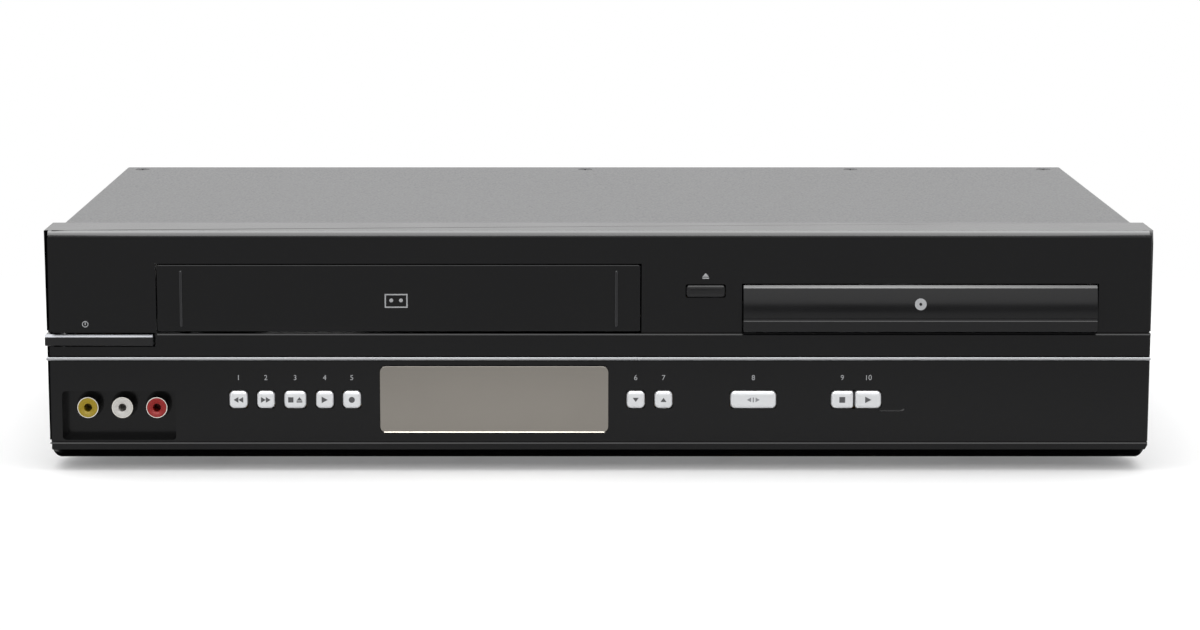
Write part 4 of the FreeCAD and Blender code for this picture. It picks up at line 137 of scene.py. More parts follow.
# Main board: brown paper-and-resin laminate, cut from a sheet and stuffed with parts.
# All that stands above the sheet is dark epoxy chips and sleeved cans, so the colour
# changes with the height above the pan.
def laminate(name, axis, edge, above, sheet, part):
    """Circuit board; past the edge on that axis lie its parts."""
    material, tree, place = new_tree(name)
    spot = put(tree, "SeparateXYZ", links={"Vector": place})
    over = put(tree, "Math", {"operation": "GREATER_THAN" if above else "LESS_THAN"},
               {1: edge}, {0: spot.outputs[axis]})
    fibre = put(tree, "Mapping", sockets={"Scale": (3, 1, 1)}, links={"Vector": place})
    streak = put(tree, "TexNoise", sockets={"Scale": 1 / (2 * MM), "Detail": 5},
                 links={"Vector": fibre.outputs["Vector"]})
    brown = put(tree, "Mix", {"data_type": "RGBA"}, {6: shade(sheet[0]), 7: shade(sheet[1])},
                {0: streak.outputs["Fac"]})
    both = put(tree, "Mix", {"data_type": "RGBA"}, {7: shade(part)},
               {0: over.outputs["Value"], 6: brown.outputs[2]})
    relief = put(tree, "Bump", sockets={"Strength": 0.2, "Distance": 0.04 * MM},
                 links={"Height": streak.outputs["Fac"]})
    close(tree, put(tree, "BsdfPrincipled", sockets={"Roughness": 0.48, "IOR": 1.5}, links={
        "Base Color": both.outputs[2], "Normal": relief.outputs["Normal"]}))
    return material


board_top = 10.65 * MM
dress(laminate("paper_phenolic_board", "Z", board_top, True, ("#8a6a35", "#75572a"), "#1b1b1d"),
      "main_board")
# The key boards stand upright behind the bezel, with their small push switches in front.
key_board_face = -106.05 * MM
dress(laminate("paper_phenolic_key_board", "Y", key_board_face, False, ("#8a6a35", "#75572a"),
               "#2a2a2c"), "front_board")
# The transformer: a stack of varnished steel laminations round a bobbin with yellow tape.
core_low, core_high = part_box("power_transformer")
dress(laminate("taped_and_varnished_windings", "Y", core_low.y + 4 * MM, False,
               ("#3a3d42", "#2c2e33"), "#b8952e"), "power_transformer")


# Loader frame, reel tables, jack block and gland: black nylon and ABS from spark-eroded
# moulds, so their skin is matt with a fine even grain.
def moulded(name, colour, worn, roughness, grain, depth, ior=1.46, metallic=0.0):
    """Injection-moulded plastic; grain and depth are those of the mould's texture."""
    material, tree, place = new_tree(name)
    broad = put(tree, "TexNoise", sockets={"Scale": 1 / (35 * MM), "Detail": 3},
                links={"Vector": place})
    tint = put(tree, "Mix", {"data_type": "RGBA"}, {6: shade(colour), 7: shade(worn)},
               {0: broad.outputs["Fac"]})
    dull = put(tree, "MapRange", sockets={"To Min": roughness - 0.05, "To Max": roughness + 0.05},
               links={"Value": broad.outputs["Fac"]})
    fine = put(tree, "TexNoise", sockets={"Scale": 1 / grain, "Detail": 2},
               links={"Vector": place})
    relief = put(tree, "Bump", sockets={"Strength": 0.3, "Distance": depth},
                 links={"Height": fine.outputs["Fac"]})
    close(tree, put(tree, "BsdfPrincipled", sockets={"IOR": ior, "Metallic": metallic}, links={
        "Base Color": tint.outputs[2], "Roughness": dull.outputs["Result"],
        "Normal": relief.outputs["Normal"]}))
    return material


nylon = moulded("spark_grained_black_nylon", "#1a1a1b", "#222223", 0.55, 0.5 * MM, 0.02 * MM)
dress(nylon, "loader_frame", "rear_jack_block", "cord_bushing", "turntable", "pickup",
      "supply_reel", "take_up_reel", "holder_slides")

# Gears, pulleys and the clamper: natural acetal, milky white and slightly waxy.
acetal = moulded("natural_acetal", "#dedbd0", "#d3cfc2", 0.38, 0.8 * MM, 0.01 * MM)
dress(acetal, "reel_idler", "loading_pinion", "cam_gear", "tray_pulley", "tray_gear",
      "sled_gear", "clamper")


# Turned and drawn metal of the mechanism: the aluminium drum halves, the ground steel
# shafts and arm, and the zinc-plated motor cans. Their tool marks run round or along.
def machined(name, colour, roughness, marks):
    """Turned, ground or drawn metal; marks is the spacing of the tool marks."""
    material, tree, place = new_tree(name)
    stretched = put(tree, "Mapping", sockets={"Scale": (0.15, 0.15, 1)}, links={"Vector": place})
    rings = put(tree, "TexNoise", sockets={"Scale": 1 / marks, "Detail": 2},
                links={"Vector": stretched.outputs["Vector"]})
    dull = put(tree, "MapRange", sockets={"To Min": roughness - 0.06, "To Max": roughness + 0.08},
               links={"Value": rings.outputs["Fac"]})
    relief = put(tree, "Bump", sockets={"Strength": 0.15, "Distance": 0.01 * MM},
                 links={"Height": rings.outputs["Fac"]})
    close(tree, put(tree, "BsdfPrincipled", sockets={"Base Color": shade(colour), "Metallic": 1.0},
                    links={"Roughness": dull.outputs["Result"],
                           "Normal": relief.outputs["Normal"]}))
    return material


dress(machined("turned_aluminium", "#d4d5d6", 0.24, 0.4 * MM), "lower_drum", "upper_drum")
dress(machined("ground_steel", "#b4b5b7", 0.22, 0.3 * MM), "capstan", "pinch_arm",
      "door_spring")
dress(machined("drawn_zinc_plated_steel", "#a7a9ab", 0.34, 0.8 * MM), "motor_cans", "traverse")
dress(machined("nickel_plate", "#cfccc4", 0.16, 0.5 * MM), "tape_heads")

# Barrels of the sockets: nickel-plated brass. The three at the front are painted near-black behind
# a bright rim 0.4 mm deep, as painted shade for the dark recess round them.
barrel, tree, place = new_tree("nickel_plated_brass_painted_shade")
spot = put(tree, "SeparateXYZ", links={"Vector": place})
behind_rim = put(tree, "Math", {"operation": "GREATER_THAN"}, {1: -118.6 * MM},
                 {0: spot.outputs["Y"]})
before_rear = put(tree, "Math", {"operation": "LESS_THAN"}, {1: 0.0}, {0: spot.outputs["Y"]})
painted_shade_band = put(tree, "Math", {"operation": "MULTIPLY"},
             links={0: behind_rim.outputs["Value"], 1: before_rear.outputs["Value"]})
# Painted shade: near-black on the front barrels behind their rims.
plating_and_painted_shade = put(tree, "Mix", {"data_type": "RGBA"}, {6: shade("#d2cfc8"), 7: shade("#161616")},
              {0: painted_shade_band.outputs["Value"]})
wear = put(tree, "TexNoise", sockets={"Scale": 1 / (0.8 * MM), "Detail": 3},
           links={"Vector": place})
dull = put(tree, "MapRange", sockets={"To Min": 0.14, "To Max": 0.26},
           links={"Value": wear.outputs["Fac"]})
close(tree, put(tree, "BsdfPrincipled", sockets={"Metallic": 1.0}, links={
    "Base Color": plating_and_painted_shade.outputs[2], "Roughness": dull.outputs["Result"]}))
dress(barrel, "jack_shells")

# The pinch roller and the belts: ground rubber, blacker and finer than the feet.
dress(rubber("ground_black_rubber", "#131313", "#1c1c1c", 0.62, 0.3 * MM), "pinch_roller",
      "drive_belts")

# Display module: dark glass with unlit segments, hardly seen behind the tinted pane.
dress(moulded("smoked_display_glass", "#0d1214", "#10181a", 0.12, 3 * MM, 0.002 * MM, 1.5),
      "display_module")

# Screws of the case: steel with a black oxide skin, a little shiny where it is turned.
dress(machined("black_oxide_steel", "#2a2a2c", 0.38, 0.3 * MM), "case_screws")


# Cover: steel sheet with a black stoved paint that dries into a fine pebbled skin. The
# real pebbles are 0.3 mm wide, drawn at 0.9 mm here so that they show.
def pebbled_paint():
    material, tree, place = new_tree("pebbled_black_stove_enamel")
    pebbles = put(tree, "TexVoronoi", {"feature": "SMOOTH_F1"},
                  {"Scale": 1 / (0.9 * MM), "Smoothness": 0.8}, {"Vector": place})
    cloud = put(tree, "TexNoise", sockets={"Scale": 1 / (60 * MM), "Detail": 3},
                links={"Vector": place})
    tint = put(tree, "Mix", {"data_type": "RGBA"}, {6: shade("#2d2d2f"), 7: shade("#343436")},
               {0: cloud.outputs["Fac"]})
    dull = put(tree, "MapRange", sockets={"To Min": 0.26, "To Max": 0.42},
               links={"Value": pebbles.outputs["Distance"]})
    relief = put(tree, "Bump", sockets={"Strength": 0.5, "Distance": 0.06 * MM},
                 links={"Height": pebbles.outputs["Distance"]})
    close(tree, put(tree, "BsdfPrincipled", sockets={"IOR": 1.45}, links={
        "Base Color": tint.outputs[2], "Roughness": dull.outputs["Result"],
        "Normal": relief.outputs["Normal"]}))
    return material


dress(pebbled_paint(), "top_cover")

# Bezel and cassette door: glossy black ABS from polished moulds, with a faint orange peel.
# Real ABS has an IOR of about 1.53. The lower one here, like those of the tray front and the
# small black keys, was tuned so that the faces mirror the white floor as weakly as in the photo.
gloss_black = moulded("polished_black_abs", "#070708", "#09090a", 0.16, 6 * MM, 0.004 * MM, 1.27)
dress(gloss_black, "front_bezel", "cassette_door")
dress(moulded("matt_black_abs", "#17181a", "#1c1d1f", 0.46, 0.7 * MM, 0.015 * MM), "disc_tray")

# Bezel moulding, 435 mm wide: the mould rounds its upper front edge to 2.8 mm, so the edge
# catches the light. FACE is the plane of the front, in mm.
FACE = -120.0
CAD_ROUND, EDGE_ROUND, SLACK = 1.5, 2.8, 0.002
bezel_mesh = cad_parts["front_bezel"].data.copy()
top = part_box("front_bezel")[1].z / MM
spread = EDGE_ROUND / CAD_ROUND
for vert in bezel_mesh.vertices:
    y, z = vert.co.y / MM, vert.co.z / MM
    if y < FACE + CAD_ROUND + SLACK and z > top - CAD_ROUND - SLACK:
        vert.co.y = (FACE + EDGE_ROUND + (y - FACE - CAD_ROUND) * spread) * MM
        vert.co.z = (top - EDGE_ROUND + (z - top + CAD_ROUND) * spread) * MM
bezel = bpy.data.objects.new("bezel_moulding", bezel_mesh)
bpy.context.scene.collection.objects.link(bezel)
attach(bezel, "cabinet")
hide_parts("front_bezel")


# Skin of the cassette door: a plate of 189.9 x 26.5 mm with edges rounded to 0.5 mm, and
# two upright ribs, 1.2 mm wide, moulded on it 8.8 mm in from its ends.
def rounded_loop(x0, x1, z0, z1, radii, inset):
    """Corners of a rounded rectangle seen from the front, in mm, moved in by the inset."""
    spots = []
    for x, z, side, rise, radius, start in (
            (x1, z1, -1, -1, radii[0], 0), (x0, z1, 1, -1, radii[1], 90),
            (x0, z0, 1, 1, radii[2], 180), (x1, z0, -1, 1, radii[3], 270)):
        middle, reach = max(radius, inset + 0.02), max(radius - inset, 0.02)
        for step in range(7):
            angle = math.radians(start + 15 * step)
            spots.append((x + side * middle + reach * math.cos(angle),
                          z + rise * middle + reach * math.sin(angle)))
    return spots


def finish_piece(solid, name, body, material):
    """Turns a bmesh into a smooth piece that rides on its body."""
    bmesh.ops.recalc_face_normals(solid, faces=solid.faces)
    mesh = bpy.data.meshes.new(name)
    solid.to_mesh(mesh)
    solid.free()
    mesh.shade_smooth()
    mesh.set_sharp_from_angle(angle=math.radians(32))
    mesh.materials.append(material)
    piece = bpy.data.objects.new(name, mesh)
    bpy.context.scene.collection.objects.link(piece)
    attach(piece, body)
    return piece


def plate(name, x0, x1, z0, z1, radii, back, front, edge, body, material, dome=0.0):
    """A rounded plate from back to front, with its front edge rounded and its middle domed."""
    solid = bmesh.new()
    rings = [(0.0, back)]
    rings += [(edge * (1 - math.cos(a)), front + dome + edge * (1 - math.sin(a)))
              for a in [math.radians(18 * n) for n in range(6)]]
    rings += [(edge + 0.1, front + dome * 0.8), (edge + 0.5, front)] if dome else [
        (edge + 0.1, front)]
    loops = [[solid.verts.new((x * MM, y * MM, z * MM))
              for x, z in rounded_loop(x0, x1, z0, z1, radii, inset)] for inset, y in rings]
    for behind, before in zip(loops, loops[1:]):
        for at in range(len(behind)):
            solid.faces.new((behind[at], behind[at - 1], before[at - 1], before[at]))
    solid.faces.new(loops[0])
    solid.faces.new(loops[-1])
    return finish_piece(solid, name, body, material)


door_x, door_half, door_foot, door_height = -78.5, 94.95, 55.65, 26.5
rib_x, rib_half = 85.5, 0.6
plate("door_skin", door_x - door_half, door_x + door_half, door_foot, door_foot + door_height,
      (1.0, 1.0, 0.7, 0.7), -118.4, FACE - 0.1, 0.5, "door", gloss_black)
# The ribs are coloured #1c1c1e against the door's #070708, a painted highlight along them.
rib_painted_highlight = moulded("door_rib_painted_highlight", "#1c1c1e", "#202022", 0.24, 0.6 * MM, 0.004 * MM, 1.4)
for side, hand in ((-1, "left"), (1, "right")):
    plate("door_rib_" + hand, door_x + side * rib_x - rib_half, door_x + side * rib_x + rib_half,
          door_foot + 1.9, door_foot + 24.3, (rib_half,) * 4, FACE, FACE - 0.8, 0.55, "door",
          rib_painted_highlight)

# Front of the disc tray: a convex strip, 139.1 x 18.3 mm, of the same black ABS. Its face
# leans back towards the top, where a chamfer of 1.8 mm catches the light; a flat band of
# 4 mm runs along its foot, 0.2 mm proud. The thin strip on the chamfer is an aid of the
# render, tuned to the bright line in the photo: the real front has no such separate piece.
def bar(name, section, x0, x1, end_round, body, material):
    """A section of (y, z) corners in mm, drawn along X, with its two ends rounded."""
    solid = bmesh.new()
    face = solid.faces.new([solid.verts.new((x0 * MM, y * MM, z * MM)) for y, z in section])
    moved = bmesh.ops.extrude_face_region(solid, geom=[face])["geom"]
    bmesh.ops.translate(solid, verts=[g for g in moved if isinstance(g, bmesh.types.BMVert)],
                        vec=((x1 - x0) * MM, 0, 0))
    ends = [f for f in solid.faces if len(f.verts) == len(section) and len(f.verts) != 4]
    bmesh.ops.bevel(solid, geom=list({e for f in ends for e in f.edges}), offset=end_round * MM,
                    segments=2, profile=0.5, affect="EDGES", material=-1)
    return finish_piece(solid, name, body, material)


tray_left, tray_right, bulge = 56.8, 195.9, 46.0
lean = [math.radians(1.6 * n) for n in range(11)]
convex = [(-122.95 + bulge * (1 - math.cos(a)), 60.35 + bulge * math.sin(a)) for a in lean]
foot_band = [(-118.0, 55.9), (-122.9, 55.9), (-123.15, 56.15), (-123.15, 60.13), (-123.0, 60.25)]
tray_section = foot_band + convex + [(-119.8, 74.15), (-118.5, 74.15), (-118.0, 73.8)]
tray_black = moulded("polished_black_tray_abs", "#08080a", "#0a0a0b", 0.16, 6 * MM, 0.004 * MM,
                     1.33)
tray_skin = bar("tray_front_skin", tray_section, tray_left, tray_right, 0.35, "tray",
                tray_black)
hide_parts("tray_front")
buffed = moulded("buffed_black_abs_edge", "#08080a", "#0a0a0b", 0.16, 6 * MM, 0.003 * MM, 1.62)
bar("tray_top_edge", [(-121.18, 72.98), (-121.26, 73.06), (-119.88, 74.2), (-119.8, 74.14),
                      (-120.4, 73.5)], tray_left + 0.2, tray_right - 0.2, 0.03, "tray", buffed)

# A strip of the same kind, 0.1 mm thick, lies on the round of the bezel's upper edge from
# 16 to 88 degrees. It too is an aid of the render and no piece of the real bezel.
arc = [math.radians(16 + 6 * n) for n in range(13)]
strip = [(FACE + EDGE_ROUND - r * math.cos(a), top - EDGE_ROUND + r * math.sin(a))
         for r, angles in ((EDGE_ROUND + 0.05, arc), (EDGE_ROUND - 0.05, arc[::-1]))
         for a in angles]
bar("bezel_top_edge", strip, -215.9, 215.9, 0.02, "cabinet",
    moulded("satin_black_abs_edge", "#08080a", "#0a0a0b", 0.16, 6 * MM, 0.003 * MM, 1.5))

# Behind the upper edge of the door a flange, 0.5 mm thick, closes the gap.
bar("door_flange", [(-117.35, 81.4), (-117.35, 83.2), (-117.1, 83.3), (-116.85, 83.2),
                    (-116.85, 81.4)], -173.0, 16.0, 0.1, "door", gloss_black)

# Edges of the ledge, of the foot strip and of the small tab beside the disc keys. The photo
# shows them only as thin bright lines; these lips, 0.45 mm wide, are a guess at their form.
def lip(name, path, width, proud, body, material):
    """A ridge along (x, z) points in mm, steep below and sloping above."""
    solid = bmesh.new()
    loops = []
    for at, (x, z) in enumerate(path):
        before, after = path[max(at - 1, 0)], path[min(at + 1, len(path) - 1)]
        along = Vector((after[0] - before[0], after[1] - before[1])).normalized()
        up = Vector((-along.y, along.x))
        loops.append([solid.verts.new(((x + up.x * n) * MM, y * MM, (z + up.y * n) * MM))
                      for n, y in ((0.0, FACE + 0.2), (0.0, FACE - proud), (width, FACE),
                                   (width, FACE + 0.2))])
    for behind, before in zip(loops, loops[1:]):
        for corner in range(4):
            solid.faces.new((behind[corner], behind[corner - 1], before[corner - 1],
                             before[corner]))
    solid.faces.new(loops[0])
    solid.faces.new(loops[-1])
    return finish_piece(solid, name, body, material)


lip("ledge_lip", [(-173.6, 54.3), (217.2, 54.3)], 0.45, 0.4, "cabinet", gloss_black)
lip("strip_lip", [(-216.6, 10.85), (216.6, 10.85)], 0.45, 0.38, "cabinet", gloss_black)
tab_round = 2.0
corner = [(119.2 + tab_round * math.sin(math.radians(a)),
           25.9 - tab_round * math.cos(math.radians(a))) for a in (0, 20, 40, 60)]
lip("tab_lip", [(110.6, 23.9)] + corner, 0.4, 0.45, "cabinet", gloss_black)

# Trim bar: ABS with a hot-stamped aluminium foil, satin from its brushed printing roll,
# 434.6 mm long and 1.3 mm high, with a rounded face.
foil = moulded("satin_silver_foil", "#929395", "#8a8b8d", 0.26, 1.2 * MM, 0.004 * MM, 1.5, 0.9)
trim = bar("silver_trim_bar", [(-119.0, 44.2), (-120.4, 44.2), (-120.75, 44.45), (-120.9, 44.8),
                               (-120.9, 45.25), (-120.78, 45.42), (-120.5, 45.5), (-119.0, 45.5)],
           -217.3, 217.3, 0.1, "cabinet", foil)
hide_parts("silver_trim")

# Display pane: clear acrylic with a half mirror behind it, 90 x 26.4 mm, so it shows the
# floor in a warm grey and hides the unlit display. Its lower edge is cut at an angle; the strip
# on it is coloured lighter than the pane, #99958d against #7e7a74, as a painted highlight.
half_mirror = moulded("half_mirrored_acrylic", "#7e7a74", "#79756f", 0.09, 9 * MM, 0.002 * MM,
                      1.49, 1.0)
pane = plate("display_pane", -86.1, 3.9, 15.5, 41.9, (2.2,) * 4, -118.6, -120.8, 0.15, "cabinet",
             half_mirror)
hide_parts("display_window")
bar("pane_lower_edge", [(-120.7, 15.45), (-121.15, 15.45), (-121.15, 15.5), (-120.8, 15.82),
                        (-120.7, 15.82)], -84.6, 2.4, 0.05, "cabinet",
    moulded("acrylic_edge_painted_highlight", "#99958d", "#918d85", 0.2, 3 * MM, 0.002 * MM, 1.49, 0.8))

# Keys: ABS pillows, 7 mm high, with a fine silver lacquer. Their edges are rounded to
# 1 mm and their corners to 1.9 mm; the disc keys share one outline cut in two. Above and
# below each cap a flange of 1 mm stands behind the bezel.
silver_lacquer = moulded("fine_silver_lacquer", "#cdced0", "#c4c5c7", 0.32, 0.6 * MM,
                         0.01 * MM, 1.5, 0.5)
KEYS = ("rewind", "fast_forward", "stop_eject", "play", "record", "tracking_down",
        "tracking_up", "source", "disc_stop", "disc_play")
FLANGE, key_corner, cut_corner = 1.0, 1.9, 1.05
for key in KEYS:
    low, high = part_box(key + "_button")
    right = cut_corner if key == "disc_stop" else key_corner
    left = cut_corner if key == "disc_play" else key_corner
    cap = plate(key + "_key", low.x / MM, high.x / MM, low.z / MM + FLANGE,
                high.z / MM - FLANGE, (right, left, left, right), high.y / MM, low.y / MM, 1.0,
                key + "_button", silver_lacquer, 0.12)
    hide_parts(key + "_button")

# Key of the disc tray: a small black pillow, 15.3 x 4.8 mm. Standby bar: a black bar across
# the corner, 4.4 mm high, with a chamfer of 1.2 x 1 mm along its top. A strip on that chamfer
# is coloured silver as a painted highlight of the light that the bar's top edge catches.
satin_black = moulded("satin_black_abs", "#101011", "#131314", 0.2, 0.6 * MM, 0.004 * MM, 1.32)
low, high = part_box("open_close_button")
cap = plate("open_close_key", low.x / MM, high.x / MM, low.z / MM + FLANGE,
            high.z / MM - FLANGE, (1.3,) * 4, high.y / MM, low.y / MM, 0.9,
            "open_close_button", satin_black, 0.1)
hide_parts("open_close_button")
standby_section = [(-112.0, 50.0), (-120.3, 50.0), (-120.6, 50.3), (-120.6, 53.35),
                   (-119.4, 54.4), (-112.0, 54.4)]
standby = bar("standby_bar", standby_section, -217.8, -175.2, 0.3, "standby_button",
              satin_black)
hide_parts("standby_button")
standby_painted_highlight = moulded("silver_painted_highlight", "#67686b", "#606164", 0.3, 0.6 * MM, 0.01 * MM,
                      1.5, 0.7)
# Painted highlight: a silver strip along the black bar's top edge.
bar("standby_edge", [(-120.5, 53.5), (-119.46, 54.47), (-119.3, 54.3), (-120.3, 53.3),
                     (-120.45, 53.4)], -217.7, -175.4, 0.04, "standby_button", standby_painted_highlight)

# Sockets: each phono socket has a core of coloured polystyrene inside its barrel. Its IOR is
# tuned below the 1.59 of polystyrene, so that the colours stay as deep as in the photo.
for colour, codes in (("yellow", ("#8f7a08", "#877208")), ("white", ("#b8b6b2", "#b0aeaa")),
                      ("red", ("#86100d", "#7c0f0c"))):
    dress(moulded("polystyrene_" + colour, codes[0], codes[1], 0.4, 0.8 * MM, 0.01 * MM, 1.36),
          "front_jack_" + colour)


# Symbols: screen-printed ink on the keys and on the bezel, a thin film with sharp edges.
# Only plain shapes are printed: arrows, squares, dots, rings and numbers.
def ink(name, colour):
    material, tree, place = new_tree(name)
    grain = put(tree, "TexNoise", sockets={"Scale": 1 / (0.4 * MM), "Detail": 2},
                links={"Vector": place})
    dull = put(tree, "MapRange", sockets={"To Min": 0.42, "To Max": 0.55},
               links={"Value": grain.outputs["Fac"]})
    relief = put(tree, "Bump", sockets={"Strength": 0.1, "Distance": 0.01 * MM},
                 links={"Height": grain.outputs["Fac"]})
    close(tree, put(tree, "BsdfPrincipled", sockets={"Base Color": shade(colour), "IOR": 1.5},
                    links={"Roughness": dull.outputs["Result"],
                           "Normal": relief.outputs["Normal"]}))
    return material


dark_ink = ink("dark_grey_screen_ink", "#3c3c3f")
mid_ink = ink("mid_grey_screen_ink", "#75767a")
pale_ink = ink("pale_grey_screen_ink", "#8f9092")
FILM = 0.04 * MM


def printed(name, shapes, x, z, face, body, material):
    """Flat shapes (corners, x, z, wide, high, turn) in mm round a place on a front face."""
    film = bmesh.new()
    for corners, offset_x, offset_z, wide, high, turn in shapes:
        new = bmesh.ops.create_circle(film, cap_ends=True, segments=corners, radius=1.0)["verts"]
        start = 45 if corners == 4 else 0
        bmesh.ops.rotate(film, verts=new,
                         matrix=Matrix.Rotation(math.radians(start + turn), 3, "Z"))
        low = Vector([min(v.co[i] for v in new) for i in range(3)])
        high_corner = Vector([max(v.co[i] for v in new) for i in range(3)])
        bmesh.ops.translate(film, verts=new, vec=-(low + high_corner) / 2)
        size = high_corner - low
        bmesh.ops.scale(film, verts=new, vec=(wide * MM / size.x, high * MM / size.y, 1))
        bmesh.ops.translate(film, verts=new, vec=(offset_x * MM, offset_z * MM, 0))
    lifted = bmesh.ops.extrude_face_region(film, geom=film.faces[:])["geom"]
    bmesh.ops.translate(film, verts=[g for g in lifted if isinstance(g, bmesh.types.BMVert)],
                        vec=(0, 0, FILM))
    settle(film, name, x, z, face, body, material)


def settle(film, name, x, z, face, body, material, lean=0.0):
    """Stands a flat print upright on a front face, or leaning back, on its body."""
    bmesh.ops.rotate(film, verts=film.verts,
                     matrix=Matrix.Rotation(math.radians(90 - lean), 3, "X"))
    bmesh.ops.translate(film, verts=film.verts, vec=(x, face, z))
    bmesh.ops.recalc_face_normals(film, faces=film.faces)
    mesh = bpy.data.meshes.new(name)
    film.to_mesh(mesh)
    film.free()
    mesh.materials.append(material)
    piece = bpy.data.objects.new(name, mesh)
    bpy.context.scene.collection.objects.link(piece)
    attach(piece, body)


LEFT, RIGHT, UP, DOWN, DOT = 90, -90, 0, 180, 40
SYMBOLS = {
    "rewind_button": [(3, -0.95, 0, 1.9, 2.3, LEFT), (3, 0.95, 0, 1.9, 2.3, LEFT)],
    "fast_forward_button": [(3, -0.95, 0, 1.9, 2.3, RIGHT), (3, 0.95, 0, 1.9, 2.3, RIGHT)],
    "stop_eject_button": [(4, -1.7, 0, 2.1, 2.1, 0), (3, 1.7, 0.4, 2.3, 1.4, UP),
                          (4, 1.7, -0.8, 2.3, 0.5, 0)],
    "play_button": [(3, 0, 0, 2.4, 2.6, RIGHT)],
    "record_button": [(DOT, 0, 0, 2.4, 2.4, 0)],
    "tracking_down_button": [(3, 0, 0, 2.4, 1.7, DOWN)],
    "tracking_up_button": [(3, 0, 0, 2.4, 1.7, UP)],
    "source_button": [(3, -1.7, 0, 1.7, 1.9, LEFT), (4, 0, 0, 0.5, 1.9, 0),
                      (3, 1.7, 0, 1.7, 1.9, RIGHT)],
    "disc_stop_button": [(4, 0, 0, 2.3, 2.3, 0)],
    "disc_play_button": [(3, 0, 0, 2.5, 2.6, RIGHT)],
}
for key, shapes in SYMBOLS.items():
    low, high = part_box(key)
    cap = [v.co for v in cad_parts[key].data.vertices if v.co.y < low.y + 1.0 * MM]
    middle = (min(c.x for c in cap) + max(c.x for c in cap)) / 2
    height = (min(c.z for c in cap) + max(c.z for c in cap)) / 2
    printed(key.replace("_button", "_symbol"), shapes, middle, height, low.y, key,
            mid_ink if key == "source_button" else dark_ink)


# Marks on the bezel: numbers above the keys and symbols beside standby and tray keys, a
# cassette on the door and a disc on the tray.
def number(name, text, x, z, size):
    """A printed number, centred on its place."""
    letters = bpy.data.curves.new(name, "FONT")
    letters.body = text
    letters.size = size
    letters.align_x = "CENTER"
    letters.align_y = "CENTER"
    letters.extrude = FILM / 2
    holder = bpy.data.objects.new(name + "_outline", letters)
    bpy.context.scene.collection.objects.link(holder)
    bpy.context.view_layer.update()
    mesh = bpy.data.meshes.new_from_object(
        holder.evaluated_get(bpy.context.evaluated_depsgraph_get()))
    film = bmesh.new()
    film.from_mesh(mesh)
    bpy.data.objects.remove(holder)
    bmesh.ops.remove_doubles(film, verts=film.verts, dist=0.001 * MM)
    settle(film, name, x, z, FACE * MM, "cabinet", pale_ink)


legend_row = 37.2 * MM
for index, key in enumerate(KEYS, start=1):
    low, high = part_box(key + "_button")
    number("number_" + str(index), str(index), (low.x + high.x) / 2, legend_row, 2.9 * MM)


def printed_ring(name, outer, inner, x, z, face, body, lean=0.0):
    """A flat printed ring; outer and inner are its radii in mm."""
    ring = bmesh.new()
    for radius in (outer, inner):
        bmesh.ops.create_circle(ring, cap_ends=False, segments=48, radius=radius * MM)
    bmesh.ops.bridge_loops(ring, edges=ring.edges[:])
    lifted = bmesh.ops.extrude_face_region(ring, geom=ring.faces[:])["geom"]
    bmesh.ops.translate(ring, verts=[g for g in lifted if isinstance(g, bmesh.types.BMVert)],
                        vec=(0, 0, FILM))
    settle(ring, name, x, z, face, body, pale_ink, lean)


standby_x, standby_z = -201.8 * MM, 58.6 * MM
printed_ring("standby_ring", 1.25, 0.95, standby_x, standby_z, FACE * MM, "cabinet")
printed("standby_stroke", [(4, 0, 0.3, 0.35, 1.3, 0)], standby_x, standby_z,
        FACE * MM - FILM / 2, "cabinet", pale_ink)
printed("tray_key_symbol", [(3, 0, 0.5, 2.6, 1.5, UP), (4, 0, -0.8, 2.6, 0.5, 0)],
        42.0 * MM, 77.7 * MM, FACE * MM, "cabinet", pale_ink)
printed("cassette_symbol", [(4, 0, 2.5, 9.0, 0.5, 0), (4, 0, -2.5, 9.0, 0.5, 0),
                            (4, -4.25, 0, 0.5, 4.5, 0), (4, 4.25, 0, 0.5, 4.5, 0),
                            (DOT, -1.9, 0.2, 1.5, 1.5, 0), (DOT, 1.9, 0.2, 1.5, 1.5, 0)],
        -79.5 * MM, 67.9 * MM, (FACE - 0.1) * MM, "door", pale_ink)
printed_ring("disc_symbol", 2.3, 0.6, 126.3 * MM, 66.9 * MM, -122.52 * MM, "tray", 8.2)


# Collars of the front sockets: the flared mouth of each coloured core, 7.7 mm across.
def turned(name, section, x, z, body, material):
    """A closed section of (radius, y) in mm, spun round an axis along Y."""
    solid = bmesh.new()
    rim = [solid.verts.new((r * MM, y * MM, 0)) for r, y in section]
    edges = [solid.edges.new((rim[at - 1], rim[at])) for at in range(len(rim))]
    bmesh.ops.spin(solid, geom=rim + edges, cent=(0, 0, 0), axis=(0, 1, 0), angle=math.tau,
                   steps=40, use_merge=True)
    bmesh.ops.translate(solid, verts=solid.verts, vec=(x, 0, z))
    finish_piece(solid, name, body, material)


mouth = [(1.6, -118.5), (1.9, -118.85), (3.2, -119.4), (3.7, -119.4), (3.85, -119.25),
         (3.85, -118.7)]
for colour in ("yellow", "white", "red"):
    low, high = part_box("front_jack_" + colour)
    turned("socket_mouth_" + colour, mouth, (low.x + high.x) / 2, (low.z + high.z) / 2,
           "cabinet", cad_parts["front_jack_" + colour].data.materials[0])

# Rims of the rear sockets: coloured polystyrene rings pressed over each black core, one
# colour for each signal.
core_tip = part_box("rear_jack_block")[1].y
signal_colours = {
    name: moulded("polystyrene_rim_" + name, code, code, 0.36, 0.8 * MM, 0.01 * MM, 1.59)
    for name, code in (("yellow", "#dcb31b"), ("white", "#e8e6e0"), ("red", "#c2231c"),
                       ("green", "#2f8a43"), ("blue", "#2a56a8"))
}
rim_radius, rim_thick = 2.9, 0.5
first_x, column_pitch, first_z, row_pitch = 60, 16, 22, 18
rim = [(rim_radius + rim_thick * math.cos(math.radians(30 * n)),
        core_tip / MM + rim_thick * math.sin(math.radians(30 * n))) for n in range(12)]
